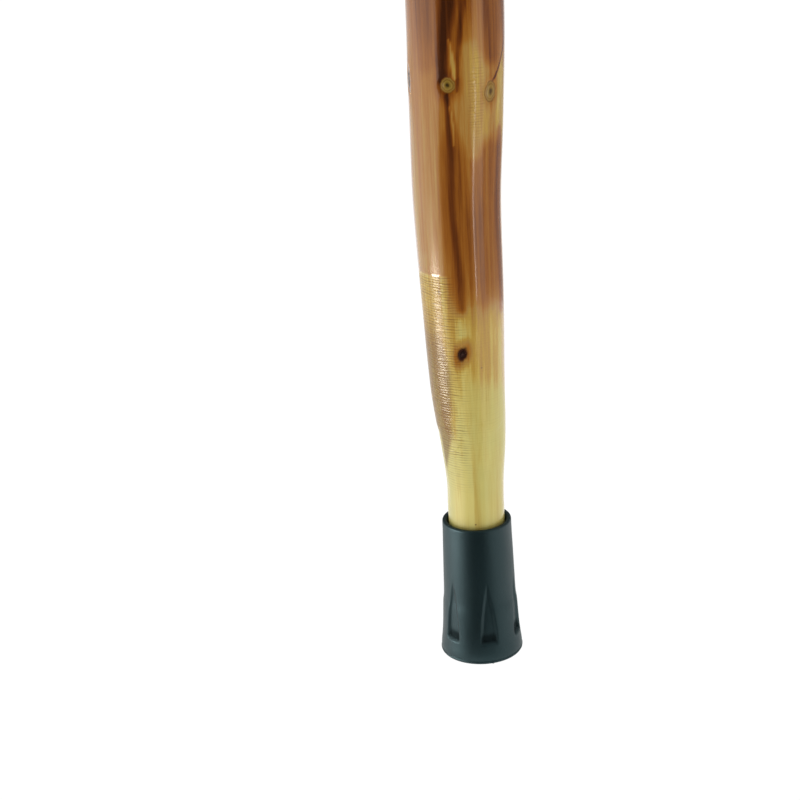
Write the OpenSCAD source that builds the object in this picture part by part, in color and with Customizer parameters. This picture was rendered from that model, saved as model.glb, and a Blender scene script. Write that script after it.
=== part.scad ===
// Underarm crutch: a natural wooden pole clamped between two bent bows, with an
// adjustable leg, an adjustable hand grip, a padded armrest and a rubber ferrule.
// Millimetres. +Z is up, +X is to the right, and the origin is the centre of the
// ferrule's foot.

/* [Leg] */
// Diameter of the turned end inside the ferrule
tip_d = 22.2; // [21:0.2:22.2]
// Height of the underside of the pole above the floor
pole_foot = 10; // [10:0.5:12]
// Height where the flats for the bows begin
flats_from = 335; // [325:1:338]
// Height of the top of the leg
leg_top = 650; // [645:1:655]
// Diameter of the pole where it is flattened
shaft_d = 33.5; // [32:0.5:34]
// Thickness of the pole between its two flats
flat_t = 22; // [20:0.5:23]

/* [Ferrule] */
// Height of the rubber ferrule
ferrule_h = 57; // [52:1:60]
// Diameter of the ferrule's foot
foot_d = 33; // [32:0.5:36]
// Thickness of rubber under the steel disc
sole_t = 8; // [6:0.5:8]
// Number of scalloped flutes around the ferrule
flutes = 6; // [4:1:8]
// Turn of the first flute from the front, towards the right
flute_turn = 8.8; // [0:0.1:30]

/* [Bows] */
// Thickness of a bow, seen from the front
bow_t = 15; // [13:0.5:16]
// Width of a bow, seen from the side
bow_w = 28; // [26:0.5:30]
// Clear width between the bows beside the hand grip
hand_gap = 115; // [105:1:120]
// Extra distance that each bow flares outwards above the grip
flare = 15; // [8:1:15]

/* [Adjustment] */
// Distance between neighbouring adjusting holes
hole_pitch = 25; // [20:1:25]
// Height of the lower leg bolt
lower_bolt_z = 455; // [455:1:460]
// Height of the upper leg bolt
upper_bolt_z = 555; // [550:1:555]
// Height of the hand grip in its middle hole
grip_z = 860; // [860:1:880]

/* [Armrest] */
// Height of the top of the pad
total_h = 1250; // [1240:1:1260]
// Length of the wooden crosspiece
beam_l = 220; // [210:1:230]
// Depth of the wooden crosspiece, front to back
beam_w = 42; // [40:0.5:44]
// Thickness of the leather
leather_t = 2.2; // [1.6:0.1:2.4]
// Number of brass tacks along each long side
tacks_per_side = 9; // [5:1:11]

/* [Hand grip] */
// Largest diameter of the rubber sleeve
sleeve_d = 36; // [32:0.5:38]
// Diameter of the wooden core
core_d = 24; // [22:0.5:25]

/* [Fasteners] */
// Diameter of the bolts
bolt_d = 6; // [5:0.5:6]
// Length of bolt that stands out of a wing nut at rest
bolt_spare = 5; // [3:0.5:8]
// Distance that a wing nut can be backed off
nut_travel = 8; // [4:1:8]

/* [Hidden] */
$fn = 64;

// Clearances
gap = 0.3;          // between parts that move on each other
snug = 0.1;         // between parts that are fixed together
running = 0.05;     // radial clearance of a nut on its bolt

// Adjusting holes
steps_each_way = 3;
hole_d = bolt_d + 2 * gap;
grip_holes = [for (i = [-steps_each_way : steps_each_way]) grip_z + i * hole_pitch];
leg_holes = [for (z = [lower_bolt_z - steps_each_way * hole_pitch : hole_pitch
                       : upper_bolt_z + steps_each_way * hole_pitch + 1]) z];

// Pole below the flats: height, diameter, and sideways bend of its centre line
pole = [
    [pole_foot, tip_d, 0],
    [60, tip_d, 0],
    [73, tip_d + 0.4, 0],
    [90, 25.4, -0.2],
    [114, 28.7, -1.3],
    [146, 31, -1.6],
    [185, 32.7, -2.1],
    [214, 34, -1],
    [249, 35, 0],
    [300, 34.4, 0.5],
    [flats_from, shaft_d + 0.6, 0]
];
pole_sides = 24;
pole_step = 8;
end_bevel = 3;

// Bows: centre line of the right-hand bow as [x, z] places, from its foot to its top
bow_foot_z = 430;
bow_in_x = flat_t / 2 + gap + bow_t / 2;
bow_out_x = hand_gap / 2 + bow_t / 2;
bow_top_x = bow_out_x + flare;
bow_corner = 5;
bow_bend_from = [bow_in_x, 578];
bow_bend_to = [bow_out_x, 762];
bow_flare_from = [bow_out_x, 985];
bow_flare_to = [bow_top_x, 1130];
clamp_face_x = bow_in_x + bow_t / 2;
grip_face_x = bow_out_x + bow_t / 2;

// Armrest
beam_foot_z = total_h - 64;
beam_end_z = total_h - 26;
beam_dip = 10;
mortise_depth = 22;
bow_top_z = beam_foot_z + mortise_depth - snug;
pad_dip = 7;
cover_foot_z = beam_foot_z + 20;
cover_w = beam_w + 2 * (leather_t + snug);
cover_l = beam_l + 2 * (leather_t + snug);
tack_z = cover_foot_z + 6;
tack_pitch = 23.5;
tack_head_r = 3.6;
tack_shank_d = 1.2;
tack_shank_l = 6.5;
screw_z = beam_foot_z + 10;
screw_d = 4;
screw_l = 28;
screw_head_d = 8;
screw_head_h = 2.4;

// Fasteners
head_d = 14;
head_h = 4;
washer_d = 18;
washer_t = 1.6;
nut_d = 12;
nut_h = 8;
wing_t = 2.6;
wing_r = 6.5;
wing_reach = 12;
slot_w = 1.4;
slot_depth = 1.5;

// Hand grip
collar_x = hand_gap / 2 - gap;
core_end_x = collar_x - washer_t - snug;
sleeve_end_x = core_end_x - 0.5;
flange_t = 5;

// Value of one column of the pole's table at height z, on smooth curves between its rows
function slope(t, i, k) = i == 0 || i == len(t) - 1 ? 0
    : (t[i + 1][k] - t[i - 1][k]) / (t[i + 1][0] - t[i - 1][0]);
function ease(a, b, ma, mb, h, u) = (2 * u ^ 3 - 3 * u ^ 2 + 1) * a + (3 * u ^ 2 - 2 * u ^ 3) * b
    + ((u ^ 3 - 2 * u ^ 2 + u) * ma + (u ^ 3 - u ^ 2) * mb) * h;
function at_height(t, z, k, i = 0) = i < len(t) - 2 && z > t[i + 1][0] ? at_height(t, z, k, i + 1)
    : ease(t[i][k], t[i + 1][k], slope(t, i, k), slope(t, i + 1, k),
           t[i + 1][0] - t[i][0], (z - t[i][0]) / (t[i + 1][0] - t[i][0]));

// A cylinder along X from x0 to x1, centred on height z
module rod_x(d, x0, x1, z = 0) {
    translate([x0, 0, z]) rotate([0, 90, 0]) cylinder(d = d, h = x1 - x0);
}

// A rectangle with round corners, from exact arcs
module round_rect(w, h, r) {
    square([w - 2 * r, h], center = true);
    square([w, h - 2 * r], center = true);
    for (x = [-1, 1], y = [-1, 1])
        translate([x * (w / 2 - r), y * (h / 2 - r)]) circle(r);
}

// ---- Leg ----

// The natural pole, one ring of points at each step of height
module natural_pole() {
    rings = floor((flats_from - pole_foot) / pole_step);
    heights = [for (i = [0 : rings]) pole_foot + (flats_from - pole_foot) * i / rings];
    points = [for (z = heights, a = [0 : pole_sides - 1])
        [at_height(pole, z, 2) + at_height(pole, z, 1) / 2 * cos(360 * a / pole_sides),
         at_height(pole, z, 1) / 2 * sin(360 * a / pole_sides), z]];
    walls = [for (i = [0 : rings - 1], a = [0 : pole_sides - 1])
        [i * pole_sides + a, (i + 1) * pole_sides + a,
         (i + 1) * pole_sides + (a + 1) % pole_sides, i * pole_sides + (a + 1) % pole_sides]];
    foot = [for (a = [0 : pole_sides - 1]) a];
    top = [for (a = [pole_sides - 1 : -1 : 0]) rings * pole_sides + a];
    polyhedron(points, concat(walls, [foot, top]), convexity = 4);
}

// The straight upper shaft, cut to two flats that run out in sloping shoulders
module flattened_shaft() {
    root = flats_from - 6;
    intersection() {
        rotate_extrude() polygon([
            [0, root], [shaft_d / 2, root], [shaft_d / 2, leg_top - end_bevel],
            [shaft_d / 2 - end_bevel, leg_top], [0, leg_top]
        ]);
        rotate([90, 0, 0]) linear_extrude(2 * shaft_d, center = true) polygon([
            [-shaft_d, root - 1], [shaft_d, root - 1], [shaft_d, flats_from + 1],
            [shaft_d / 2, flats_from + 1], [flat_t / 2, flats_from + 14],
            [flat_t / 2, leg_top + 1], [-flat_t / 2, leg_top + 1],
            [-flat_t / 2, flats_from + 14], [-shaft_d / 2, flats_from + 1],
            [-shaft_d, flats_from + 1]
        ]);
    }
}

module leg_shaft() {
    color("peru") difference() {
        union() {
            natural_pole();
            flattened_shaft();
        }
        for (z = leg_holes) rod_x(hole_d, -shaft_d, shaft_d, z);
    }
}

// ---- Ferrule ----

module flute() {
    ledge_z = 9.6;
    lean = 1.5;
    scoop_r = 4.7;
    scoop_depth = 2.2;
    body_r_at_ledge = 15.5;
    intersection() {
        translate([0, -(body_r_at_ledge - scoop_depth + scoop_r), ledge_z])
            rotate([lean, 0, 0]) translate([0, 0, -ferrule_h / 2])
                cylinder(r = scoop_r, h = 1.5 * ferrule_h);
        translate([-foot_d / 2, -foot_d, ledge_z]) cube([foot_d, foot_d, 34]);
    }
}

module rubber_ferrule() {
    bore_r = tip_d / 2 + snug;
    color("darkslategray") difference() {
        rotate_extrude() polygon([
            [0, 0], [foot_d / 2 - 0.8, 0], [foot_d / 2, 1], [foot_d / 2 - 0.2, 2],
            [15.8, 7], [15.4, 11.6], [14.9, 21], [14.45, 25], [14.2, 34],
            [13.95, 43], [13.65, ferrule_h - 0.6], [13.3, ferrule_h], [0, ferrule_h]
        ]);
        translate([0, 0, sole_t]) cylinder(r = bore_r, h = ferrule_h);
        translate([0, 0, ferrule_h - 2]) cylinder(r1 = bore_r, r2 = bore_r + 0.5, h = 2 + snug);
        for (i = [0 : flutes - 1]) rotate([0, 0, flute_turn + i * 360 / flutes]) flute();
        for (r = [7, 11])
            translate([0, 0, -1]) difference() {
                cylinder(r = r + 1.6, h = 2.5);
                translate([0, 0, -1]) cylinder(r = r, h = 5);
            }
    }
}

module ferrule_disc() {
    color("silver") translate([0, 0, sole_t + snug]) cylinder(d = 20, h = 1.6);
}

// ---- Bows ----

// Sideways place and lean of the bow at height z, along two equal arcs that join two
// upright stretches
function bend_r(from, to) = let (turn = 2 * atan((to.x - from.x) / (to.y - from.y)))
    (to.y - from.y) / (2 * sin(turn));
function bend_x(z, from, to) = let (r = bend_r(from, to), mid = (from.y + to.y) / 2)
    z <= from.y ? from.x
    : z >= to.y ? to.x
    : z < mid ? from.x + r - sqrt(r ^ 2 - (z - from.y) ^ 2)
    : to.x - r + sqrt(r ^ 2 - (to.y - z) ^ 2);
function bend_lean(z, from, to) = z <= from.y || z >= to.y ? 0
    : asin(min(z - from.y, to.y - z) / bend_r(from, to));
function bow_x(z) = z < bow_flare_from.y ? bend_x(z, bow_bend_from, bow_bend_to)
    : bend_x(z, bow_flare_from, bow_flare_to);
function bow_lean(z) = z < bow_flare_from.y ? bend_lean(z, bow_bend_from, bow_bend_to)
    : bend_lean(z, bow_flare_from, bow_flare_to);

// Outline of the bow's section: a rectangle whose corners are short arcs
corner_steps = 4;
bow_section = [for (q = [0 : 3], i = [0 : corner_steps])
    let (a = 90 * (q + i / corner_steps), sx = q == 0 || q == 3 ? 1 : -1, sy = q < 2 ? 1 : -1)
    [sx * (bow_t / 2 - bow_corner) + bow_corner * cos(a),
     sy * (bow_w / 2 - bow_corner) + bow_corner * sin(a)]];

// The bow's rings as [height, size], with a rounded foot
foot_round = 9;
foot_rings = [for (a = [30 : 15 : 75])
    [bow_foot_z + foot_round * (1 - cos(a)), 0.72 + 0.28 * sin(a)]];
bend_rings = [for (i = [0 : 16]) [bow_bend_from.y + (bow_bend_to.y - bow_bend_from.y) * i / 16, 1]];
flare_rings = [for (i = [0 : 8])
    [bow_flare_from.y + (bow_flare_to.y - bow_flare_from.y) * i / 8, 1]];
bow_rings = concat([[bow_foot_z, 0.72]], foot_rings, [[bow_foot_z + foot_round, 1]],
                   bend_rings, flare_rings, [[bow_top_z, 1]]);

module bow_blank() {
    sides = len(bow_section);
    last = len(bow_rings) - 1;
    points = [for (ring = bow_rings, p = bow_section)
        let (z = ring[0], u = p.x * ring[1])
        [bow_x(z) + u * cos(bow_lean(z)), p.y * ring[1], z - u * sin(bow_lean(z))]];
    walls = [for (i = [0 : last - 1], a = [0 : sides - 1])
        [i * sides + a, (i + 1) * sides + a,
         (i + 1) * sides + (a + 1) % sides, i * sides + (a + 1) % sides]];
    foot = [for (a = [0 : sides - 1]) a];
    top = [for (a = [sides - 1 : -1 : 0]) last * sides + a];
    polyhedron(points, concat(walls, [foot, top]), convexity = 6);
}

module right_hand_bow() {
    difference() {
        bow_blank();
        for (z = [lower_bolt_z, upper_bolt_z]) rod_x(hole_d, 0, 2 * bow_in_x, z);
        for (z = grip_holes) rod_x(hole_d, bow_out_x - bow_t, bow_out_x + bow_t, z);
        translate([bow_top_x, -beam_w / 2 - 1, screw_z]) rotate([-90, 0, 0])
            cylinder(d = screw_d + 2 * snug, h = screw_l + 2);
    }
}

module right_bow() {
    color("burlywood") right_hand_bow();
}

module left_bow() {
    color("burlywood") mirror([1, 0, 0]) right_hand_bow();
}

// ---- Armrest ----

// Block with a hollow top: length l, depth w, from foot to the height of its ends
module saddle_block(l, w, foot, end_z, dip, corner) {
    hollow_r = (l * l / 4 + dip * dip) / (2 * dip);
    intersection() {
        rotate([90, 0, 0]) linear_extrude(w, center = true) difference() {
            union() {
                translate([-l / 2, foot]) square([l, end_z - foot - corner]);
                translate([-l / 2 + corner, foot]) square([l - 2 * corner, end_z - foot]);
                for (x = [-1, 1]) translate([x * (l / 2 - corner), end_z - corner])
                    circle(corner);
            }
            translate([0, end_z - dip + hollow_r]) circle(hollow_r, $fn = 256);
        }
        rotate([90, 0, 90]) linear_extrude(l, center = true) union() {
            translate([-w / 2, foot]) square([w, end_z - foot - corner]);
            translate([-w / 2 + corner, foot]) square([w - 2 * corner, end_z - foot]);
            for (y = [-1, 1]) translate([y * (w / 2 - corner), end_z - corner])
                circle(corner);
        }
    }
}

// Places of the tacks along both long sides, as [x, side]
tack_places = [for (i = [0 : tacks_per_side - 1], side = [-1, 1])
    [(i - (tacks_per_side - 1) / 2) * tack_pitch, side]];

// Every tack, pointing into the beam's sides and ends
module at_tacks() {
    for (p = tack_places) translate([p.x, p.y * cover_w / 2, tack_z])
        rotate([p.y * -90, 0, 0]) children();
    for (side = [-1, 1]) translate([side * cover_l / 2, 0, tack_z])
        rotate([0, side * 90, 0]) children();
}

module at_screws() {
    for (side = [-1, 1]) translate([side * bow_top_x, -beam_w / 2, screw_z])
        rotate([-90, 0, 0]) children();
}

module tack_holes() {
    at_tacks() translate([0, 0, -tack_shank_l - snug])
        cylinder(d = tack_shank_d + 2 * snug, h = tack_shank_l + 1, $fn = 24);
}

module armrest_beam() {
    color("burlywood") difference() {
        saddle_block(beam_l, beam_w, beam_foot_z, beam_end_z, beam_dip, 4);
        for (side = [-1, 1]) translate([side * bow_top_x, 0, beam_foot_z - 1])
            linear_extrude(mortise_depth + 1)
                round_rect(bow_t + 2 * snug, bow_w + 2 * snug, bow_corner + snug);
        at_screws() translate([0, 0, -1]) cylinder(d = screw_d + 2 * snug, h = 12);
        at_screws() translate([0, 0, -snug]) cylinder(
            d1 = screw_head_d + 4 * snug, d2 = screw_d, h = screw_head_h + 2 * snug);
        tack_holes();
    }
}

module foam_outer(grow) {
    saddle_block(beam_l + 2 * grow, beam_w + 2 * grow, cover_foot_z,
                 total_h - leather_t - snug + grow, pad_dip, 10);
}

module armrest_foam() {
    color("khaki") difference() {
        intersection() {
            foam_outer(0);
            translate([0, 0, total_h - 20]) cube([beam_l + 2, beam_w + 2, 44], center = true);
        }
        translate([0, 0, snug])
            saddle_block(beam_l + 1, beam_w + 1, cover_foot_z - 2, beam_end_z, beam_dip, 2);
    }
}

module armrest_cover() {
    color("saddlebrown") difference() {
        saddle_block(cover_l, cover_w, cover_foot_z, total_h, pad_dip, 11);
        foam_outer(snug);
        translate([0, 0, cover_foot_z - 1])
            cube([beam_l + 2 * snug, beam_w + 2 * snug, 12], center = true);
        tack_holes();
    }
}

module tack() {
    intersection() {
        translate([0, 0, -2.2]) sphere(4.4, $fn = 32);
        translate([0, 0, snug]) cylinder(r = tack_head_r, h = 4, $fn = 32);
    }
    translate([0, 0, -tack_shank_l]) cylinder(d = tack_shank_d, h = tack_shank_l + 0.5, $fn = 24);
}

module armrest_tacks() {
    color("gold") at_tacks() tack();
}

module screw() {
    difference() {
        union() {
            cylinder(d1 = screw_head_d, d2 = screw_d - snug, h = screw_head_h);
            cylinder(d = screw_d, h = screw_l);
        }
        translate([0, 0, 0.4]) cube([screw_head_d + 1, 1, 1.2], center = true);
    }
}

module armrest_screws() {
    color("goldenrod") at_screws() screw();
}

// ---- Fasteners ----

// Domed bolt along +X, its head outside -face_x and its thread past a nut outside +face_x
module dome_bolt(face_x) {
    head_x = -face_x - gap;
    dome_r = (head_d * head_d / 4 + head_h * head_h) / (2 * head_h);
    end_x = face_x + gap + washer_t + gap + nut_h + nut_travel + bolt_spare;
    rod_x(bolt_d, head_x - 1, end_x);
    difference() {
        intersection() {
            translate([head_x - head_h + dome_r, 0, 0]) sphere(dome_r);
            rod_x(head_d + 1, head_x - head_h - 1, head_x);
        }
        translate([head_x - head_h, 0, 0]) cube([2 * slot_depth, head_d + 1, slot_w], center = true);
    }
}

module flat_washer(face_x) {
    difference() {
        rod_x(washer_d, face_x + gap, face_x + gap + washer_t);
        rod_x(hole_d, face_x, face_x + gap + washer_t + 1);
    }
}

// Wing nut on the bolt's end, its wings upright at rest
module wing_nut(face_x) {
    nut_x = face_x + gap + washer_t + gap;
    difference() {
        union() {
            rod_x(nut_d, nut_x, nut_x + nut_h);
            for (side = [-1, 1]) translate([nut_x, wing_t / 2, 0]) rotate([90, 0, 0])
                linear_extrude(wing_t) {
                    translate([nut_h / 2 + 3, side * wing_reach]) circle(wing_r);
                    polygon([[0.8, side * 4], [nut_h - 0.5, side * 4],
                             [nut_h + 3, side * (wing_reach - 4)], [1.6, side * (wing_reach - 2.5)]]);
                }
        }
        rod_x(bolt_d + 2 * running, nut_x - 1, nut_x + 2 * nut_h);
    }
}

module lower_leg_bolt() {
    color("silver") translate([0, 0, lower_bolt_z]) dome_bolt(clamp_face_x);
}

module upper_leg_bolt() {
    color("silver") translate([0, 0, upper_bolt_z]) dome_bolt(clamp_face_x);
}

module lower_leg_washer() {
    color("gray") translate([0, 0, lower_bolt_z]) flat_washer(clamp_face_x);
}

module upper_leg_washer() {
    color("gray") translate([0, 0, upper_bolt_z]) flat_washer(clamp_face_x);
}

module lower_wing_nut() {
    color("silver") translate([0, 0, lower_bolt_z]) wing_nut(clamp_face_x);
}

module upper_wing_nut() {
    color("silver") translate([0, 0, upper_bolt_z]) wing_nut(clamp_face_x);
}

// ---- Hand grip ----

module grip_core() {
    color("burlywood") translate([0, 0, grip_z]) difference() {
        rod_x(core_d, -core_end_x, core_end_x);
        rod_x(bolt_d + 2 * gap, -hand_gap, hand_gap);
    }
}

// Rubber sleeve that swells in the middle, with a flange at each end
module grip_sleeve() {
    waist_r = sleeve_d / 2 - 3;
    swell_r = sleeve_d / 2 - 0.5;
    bore_r = core_d / 2 + snug;
    neck_x = sleeve_end_x - flange_t;
    color("dimgray") translate([0, 0, grip_z]) rotate([0, 90, 0]) rotate_extrude() polygon([
        [bore_r, -sleeve_end_x], [sleeve_d / 2, -sleeve_end_x], [sleeve_d / 2, -neck_x],
        [waist_r, -neck_x + 3], [swell_r, -neck_x / 3], [swell_r, neck_x / 3],
        [waist_r, neck_x - 3], [sleeve_d / 2, neck_x], [sleeve_d / 2, sleeve_end_x],
        [bore_r, sleeve_end_x]
    ]);
}

module grip_end_washers() {
    color("gray") translate([0, 0, grip_z]) difference() {
        for (side = [-1, 1]) translate([side * (collar_x - washer_t / 2), 0, 0])
            rod_x(core_d, -washer_t / 2, washer_t / 2);
        rod_x(hole_d, -hand_gap, hand_gap);
    }
}

module grip_bolt() {
    color("silver") translate([0, 0, grip_z]) dome_bolt(grip_face_x);
}

module grip_washer() {
    color("gray") translate([0, 0, grip_z]) flat_washer(grip_face_x);
}

module grip_wing_nut() {
    color("silver") translate([0, 0, grip_z]) wing_nut(grip_face_x);
}

leg_shaft();
rubber_ferrule();
ferrule_disc();
left_bow();
right_bow();
armrest_beam();
armrest_foam();
armrest_cover();
armrest_tacks();
armrest_screws();
lower_leg_bolt();
upper_leg_bolt();
lower_leg_washer();
upper_leg_washer();
lower_wing_nut();
upper_wing_nut();
grip_core();
grip_sleeve();
grip_end_washers();
grip_bolt();
grip_washer();
grip_wing_nut();
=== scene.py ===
"""Looks of the underarm crutch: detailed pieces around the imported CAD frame.

Shapes are worked out in millimetres and made in metres. Angles around the pole are in
degrees from the front (-Y), positive towards +X.
"""
import math

import bmesh
import bpy
import numpy as np
from mathutils import Matrix, Vector, noise


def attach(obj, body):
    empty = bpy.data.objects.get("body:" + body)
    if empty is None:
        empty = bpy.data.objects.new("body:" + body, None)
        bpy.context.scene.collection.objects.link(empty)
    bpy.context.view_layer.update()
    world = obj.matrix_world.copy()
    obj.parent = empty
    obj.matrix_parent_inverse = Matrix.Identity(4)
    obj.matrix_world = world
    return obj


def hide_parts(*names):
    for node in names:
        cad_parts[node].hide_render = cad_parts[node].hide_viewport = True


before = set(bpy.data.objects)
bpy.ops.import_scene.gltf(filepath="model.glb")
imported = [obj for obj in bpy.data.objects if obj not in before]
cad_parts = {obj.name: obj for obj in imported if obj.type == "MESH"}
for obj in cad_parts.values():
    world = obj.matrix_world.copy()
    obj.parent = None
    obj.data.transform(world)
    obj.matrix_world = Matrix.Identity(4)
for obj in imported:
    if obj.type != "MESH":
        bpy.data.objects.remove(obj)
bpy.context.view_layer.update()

MM = 0.001

# ---------------------------------------------------------------- sizes from the CAD model
TIP_D = 22.2
POLE_FOOT = 10.0
FLATS_FROM = 335.0
LEG_TOP = 650.0
SHAFT_D = 33.5
FLAT_T = 22.0
FERRULE_H = 57.0
GAP = 0.3
SNUG = 0.1
BOW_T = 15.0
BOW_W = 28.0
BOW_CORNER = 5.0
HAND_GAP = 115.0
FLARE = 15.0
HOLE_D = 6.6
BOLT_D = 6.0
PITCH = 25.0
LOWER_BOLT_Z = 455.0
UPPER_BOLT_Z = 555.0
GRIP_Z = 860.0
TOTAL_H = 1250.0
BEAM_L = 220.0
BEAM_W = 42.0
LEATHER_T = 2.2
WASHER_T = 1.6
WASHER_R = 9.0
END_WASHER_R = 12.0
HEAD_R = 7.0
HEAD_H = 4.0
NUT_H = 8.0
BOW_IN_X = FLAT_T / 2 + GAP + BOW_T / 2
BOW_OUT_X = HAND_GAP / 2 + BOW_T / 2
BOW_TOP_X = BOW_OUT_X + FLARE
BOW_BEND = (578.0, 762.0)
BOW_FLARE = (985.0, 1130.0)
BOW_FOOT_Z = 430.0
FOOT_ROUND = 9.0
CLAMP_FACE_X = BOW_IN_X + BOW_T / 2
GRIP_FACE_X = BOW_OUT_X + BOW_T / 2
BEAM_FOOT_Z = TOTAL_H - 64
BEAM_END_Z = TOTAL_H - 26
BEAM_DIP = 10.0
BEAM_ROUND = 4.0
MORTISE_H = 22.0
BOW_TOP_Z = BEAM_FOOT_Z + MORTISE_H - SNUG
SCREW_Z = BEAM_FOOT_Z + 10
PAD_DIP = 7.0
COVER_FOOT_Z = BEAM_FOOT_Z + 20
COVER_W = BEAM_W + 2 * (LEATHER_T + SNUG)
COVER_L = BEAM_L + 2 * (LEATHER_T + SNUG)
TACK_Z = COVER_FOOT_Z + 6
TACK_PITCH = 23.5
SLEEVE_END_X = HAND_GAP / 2 - GAP - WASHER_T - SNUG - 0.5

# height, diameter and sideways bend of the pole's centre line
POLE = [
    (POLE_FOOT, TIP_D, 0.0),
    (60, TIP_D, 0.0),
    (73, TIP_D + 0.4, 0.0),
    (90, 25.4, -0.2),
    (114, 28.7, -1.3),
    (146, 31.0, -1.6),
    (185, 32.7, -2.1),
    (214, 34.0, -1.0),
    (249, 35.0, 0.0),
    (300, 34.4, 0.5),
    (FLATS_FROM, SHAFT_D + 0.6, 0.0),
]


# ---------------------------------------------------------------- small helpers
def smooth(lo, hi, x):
    """0 below lo, 1 above hi, with a smooth step between; hi may be the smaller."""
    t = np.clip((np.asarray(x, float) - lo) / (hi - lo), 0, 1)
    return t * t * (3 - 2 * t)


def curve_through(rows, column, z):
    """Value of one column at heights z, on the smooth curves part.scad uses."""
    z = np.asarray(z, float)
    knots = np.array([row[0] for row in rows], float)
    values = np.array([row[column] for row in rows], float)
    slopes = np.zeros_like(values)
    slopes[1:-1] = (values[2:] - values[:-2]) / (knots[2:] - knots[:-2])
    i = np.clip(np.searchsorted(knots, z, side="left") - 1, 0, len(knots) - 2)
    h = knots[i + 1] - knots[i]
    u = np.clip((z - knots[i]) / h, 0, 1)
    return (
        (2 * u**3 - 3 * u**2 + 1) * values[i]
        + (3 * u**2 - 2 * u**3) * values[i + 1]
        + ((u**3 - 2 * u**2 + u) * slopes[i] + (u**3 - u**2) * slopes[i + 1]) * h
    )


def wander(points, scale, seed):
    """Smooth noise from -1 to 1 at each point; scale is (x, y, z) cycles per millimetre."""
    scaled = np.asarray(points, float) * np.asarray(scale, float) + seed * 17.3
    return np.array([noise.noise(Vector(p)) for p in scaled])


def solid(name, verts, faces, flat_faces=()):
    """A mesh object from points in millimetres."""
    mesh = bpy.data.meshes.new(name)
    mesh.from_pydata([tuple(v) for v in np.asarray(verts, float) * MM], [], faces)
    mesh.validate()
    mesh.update()
    mesh.polygons.foreach_set("use_smooth", [True] * len(mesh.polygons))
    for f in flat_faces:
        mesh.polygons[f].use_smooth = False
    obj = bpy.data.objects.new(name, mesh)
    bpy.context.scene.collection.objects.link(obj)
    return obj


def skin(name, rings, closed=False):
    """A closed solid through rings of equal point counts; the ends are capped unless closed."""
    rings = np.asarray(rings, float)
    n, sides = rings.shape[:2]
    faces = []
    for i in range(n if closed else n - 1):
        a, b = i * sides, (i + 1) % n * sides
        faces += [
            (a + k, a + (k + 1) % sides, b + (k + 1) % sides, b + k) for k in range(sides)
        ]
    if not closed:
        faces += [tuple(range(sides - 1, -1, -1)), tuple((n - 1) * sides + k for k in range(sides))]
    return solid(name, rings.reshape(-1, 3), faces)


def lathe(name, outline, sides=96, swell=None):
    """A solid turned about Z from (radius, z) points in a closed loop; swell(angle, r, z) moves r."""
    angle = np.linspace(0, 2 * np.pi, sides, endpoint=False)
    rings = []
    for r, z in outline:
        radius = np.full(sides, r, float)
        if swell is not None:
            radius = swell(np.degrees(angle), radius, z)
        rings.append(np.c_[radius * np.sin(angle), -radius * np.cos(angle), np.full(sides, z)])
    return skin(name, rings, closed=True)


def place(obj, x=0.0, y=0.0, z=0.0, turn=None):
    """Move an object's points, in millimetres, and leave the object itself at the origin."""
    matrix = Matrix.Translation((x * MM, y * MM, z * MM))
    if turn is not None:
        matrix = matrix @ turn
    obj.data.transform(matrix)
    return obj


ALONG_X = Matrix.Rotation(math.pi / 2, 4, "Y")


def join(name, objs):
    """One object from several."""
    made = bmesh.new()
    for o in objs:
        made.from_mesh(o.data)
    mesh = bpy.data.meshes.new(name)
    made.to_mesh(mesh)
    made.free()
    for o in objs:
        bpy.data.objects.remove(o)
    obj = bpy.data.objects.new(name, mesh)
    bpy.context.scene.collection.objects.link(obj)
    return obj


def apply_modifiers(obj):
    """Turn an object's modifiers into its mesh."""
    graph = bpy.context.evaluated_depsgraph_get()
    mesh = bpy.data.meshes.new_from_object(obj.evaluated_get(graph))
    old = obj.data
    obj.modifiers.clear()
    obj.data = mesh
    bpy.data.meshes.remove(old)
    return obj


def drill(obj, cutters):
    """Cut the cutters out of a closed solid."""
    tool = join(obj.name + "_cutter", cutters)
    cut = obj.modifiers.new("drill", "BOOLEAN")
    cut.operation = "DIFFERENCE"
    cut.solver = "EXACT"
    cut.object = tool
    apply_modifiers(obj)
    bpy.data.objects.remove(tool)
    return obj


def cylinder_x(radius, x0, x1, z, sides=32):
    """A drill bit along X."""
    a = np.linspace(0, 2 * np.pi, sides, endpoint=False)
    ring = np.c_[radius * np.cos(a), radius * np.sin(a) + z]
    return skin("bit", [np.c_[np.full(sides, x), ring] for x in (x0, x1)])


def points_of(obj):
    """Points of an object in millimetres, and their heights."""
    co = np.empty(len(obj.data.vertices) * 3)
    obj.data.vertices.foreach_get("co", co)
    co = co.reshape(-1, 3) / MM
    return co, co[:, 2]


def paint(obj, name, values):
    """Store a number per point for a material to read."""
    layer = obj.data.attributes.new(name, "FLOAT", "POINT")
    layer.data.foreach_set("value", np.asarray(values, np.float32))


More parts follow.
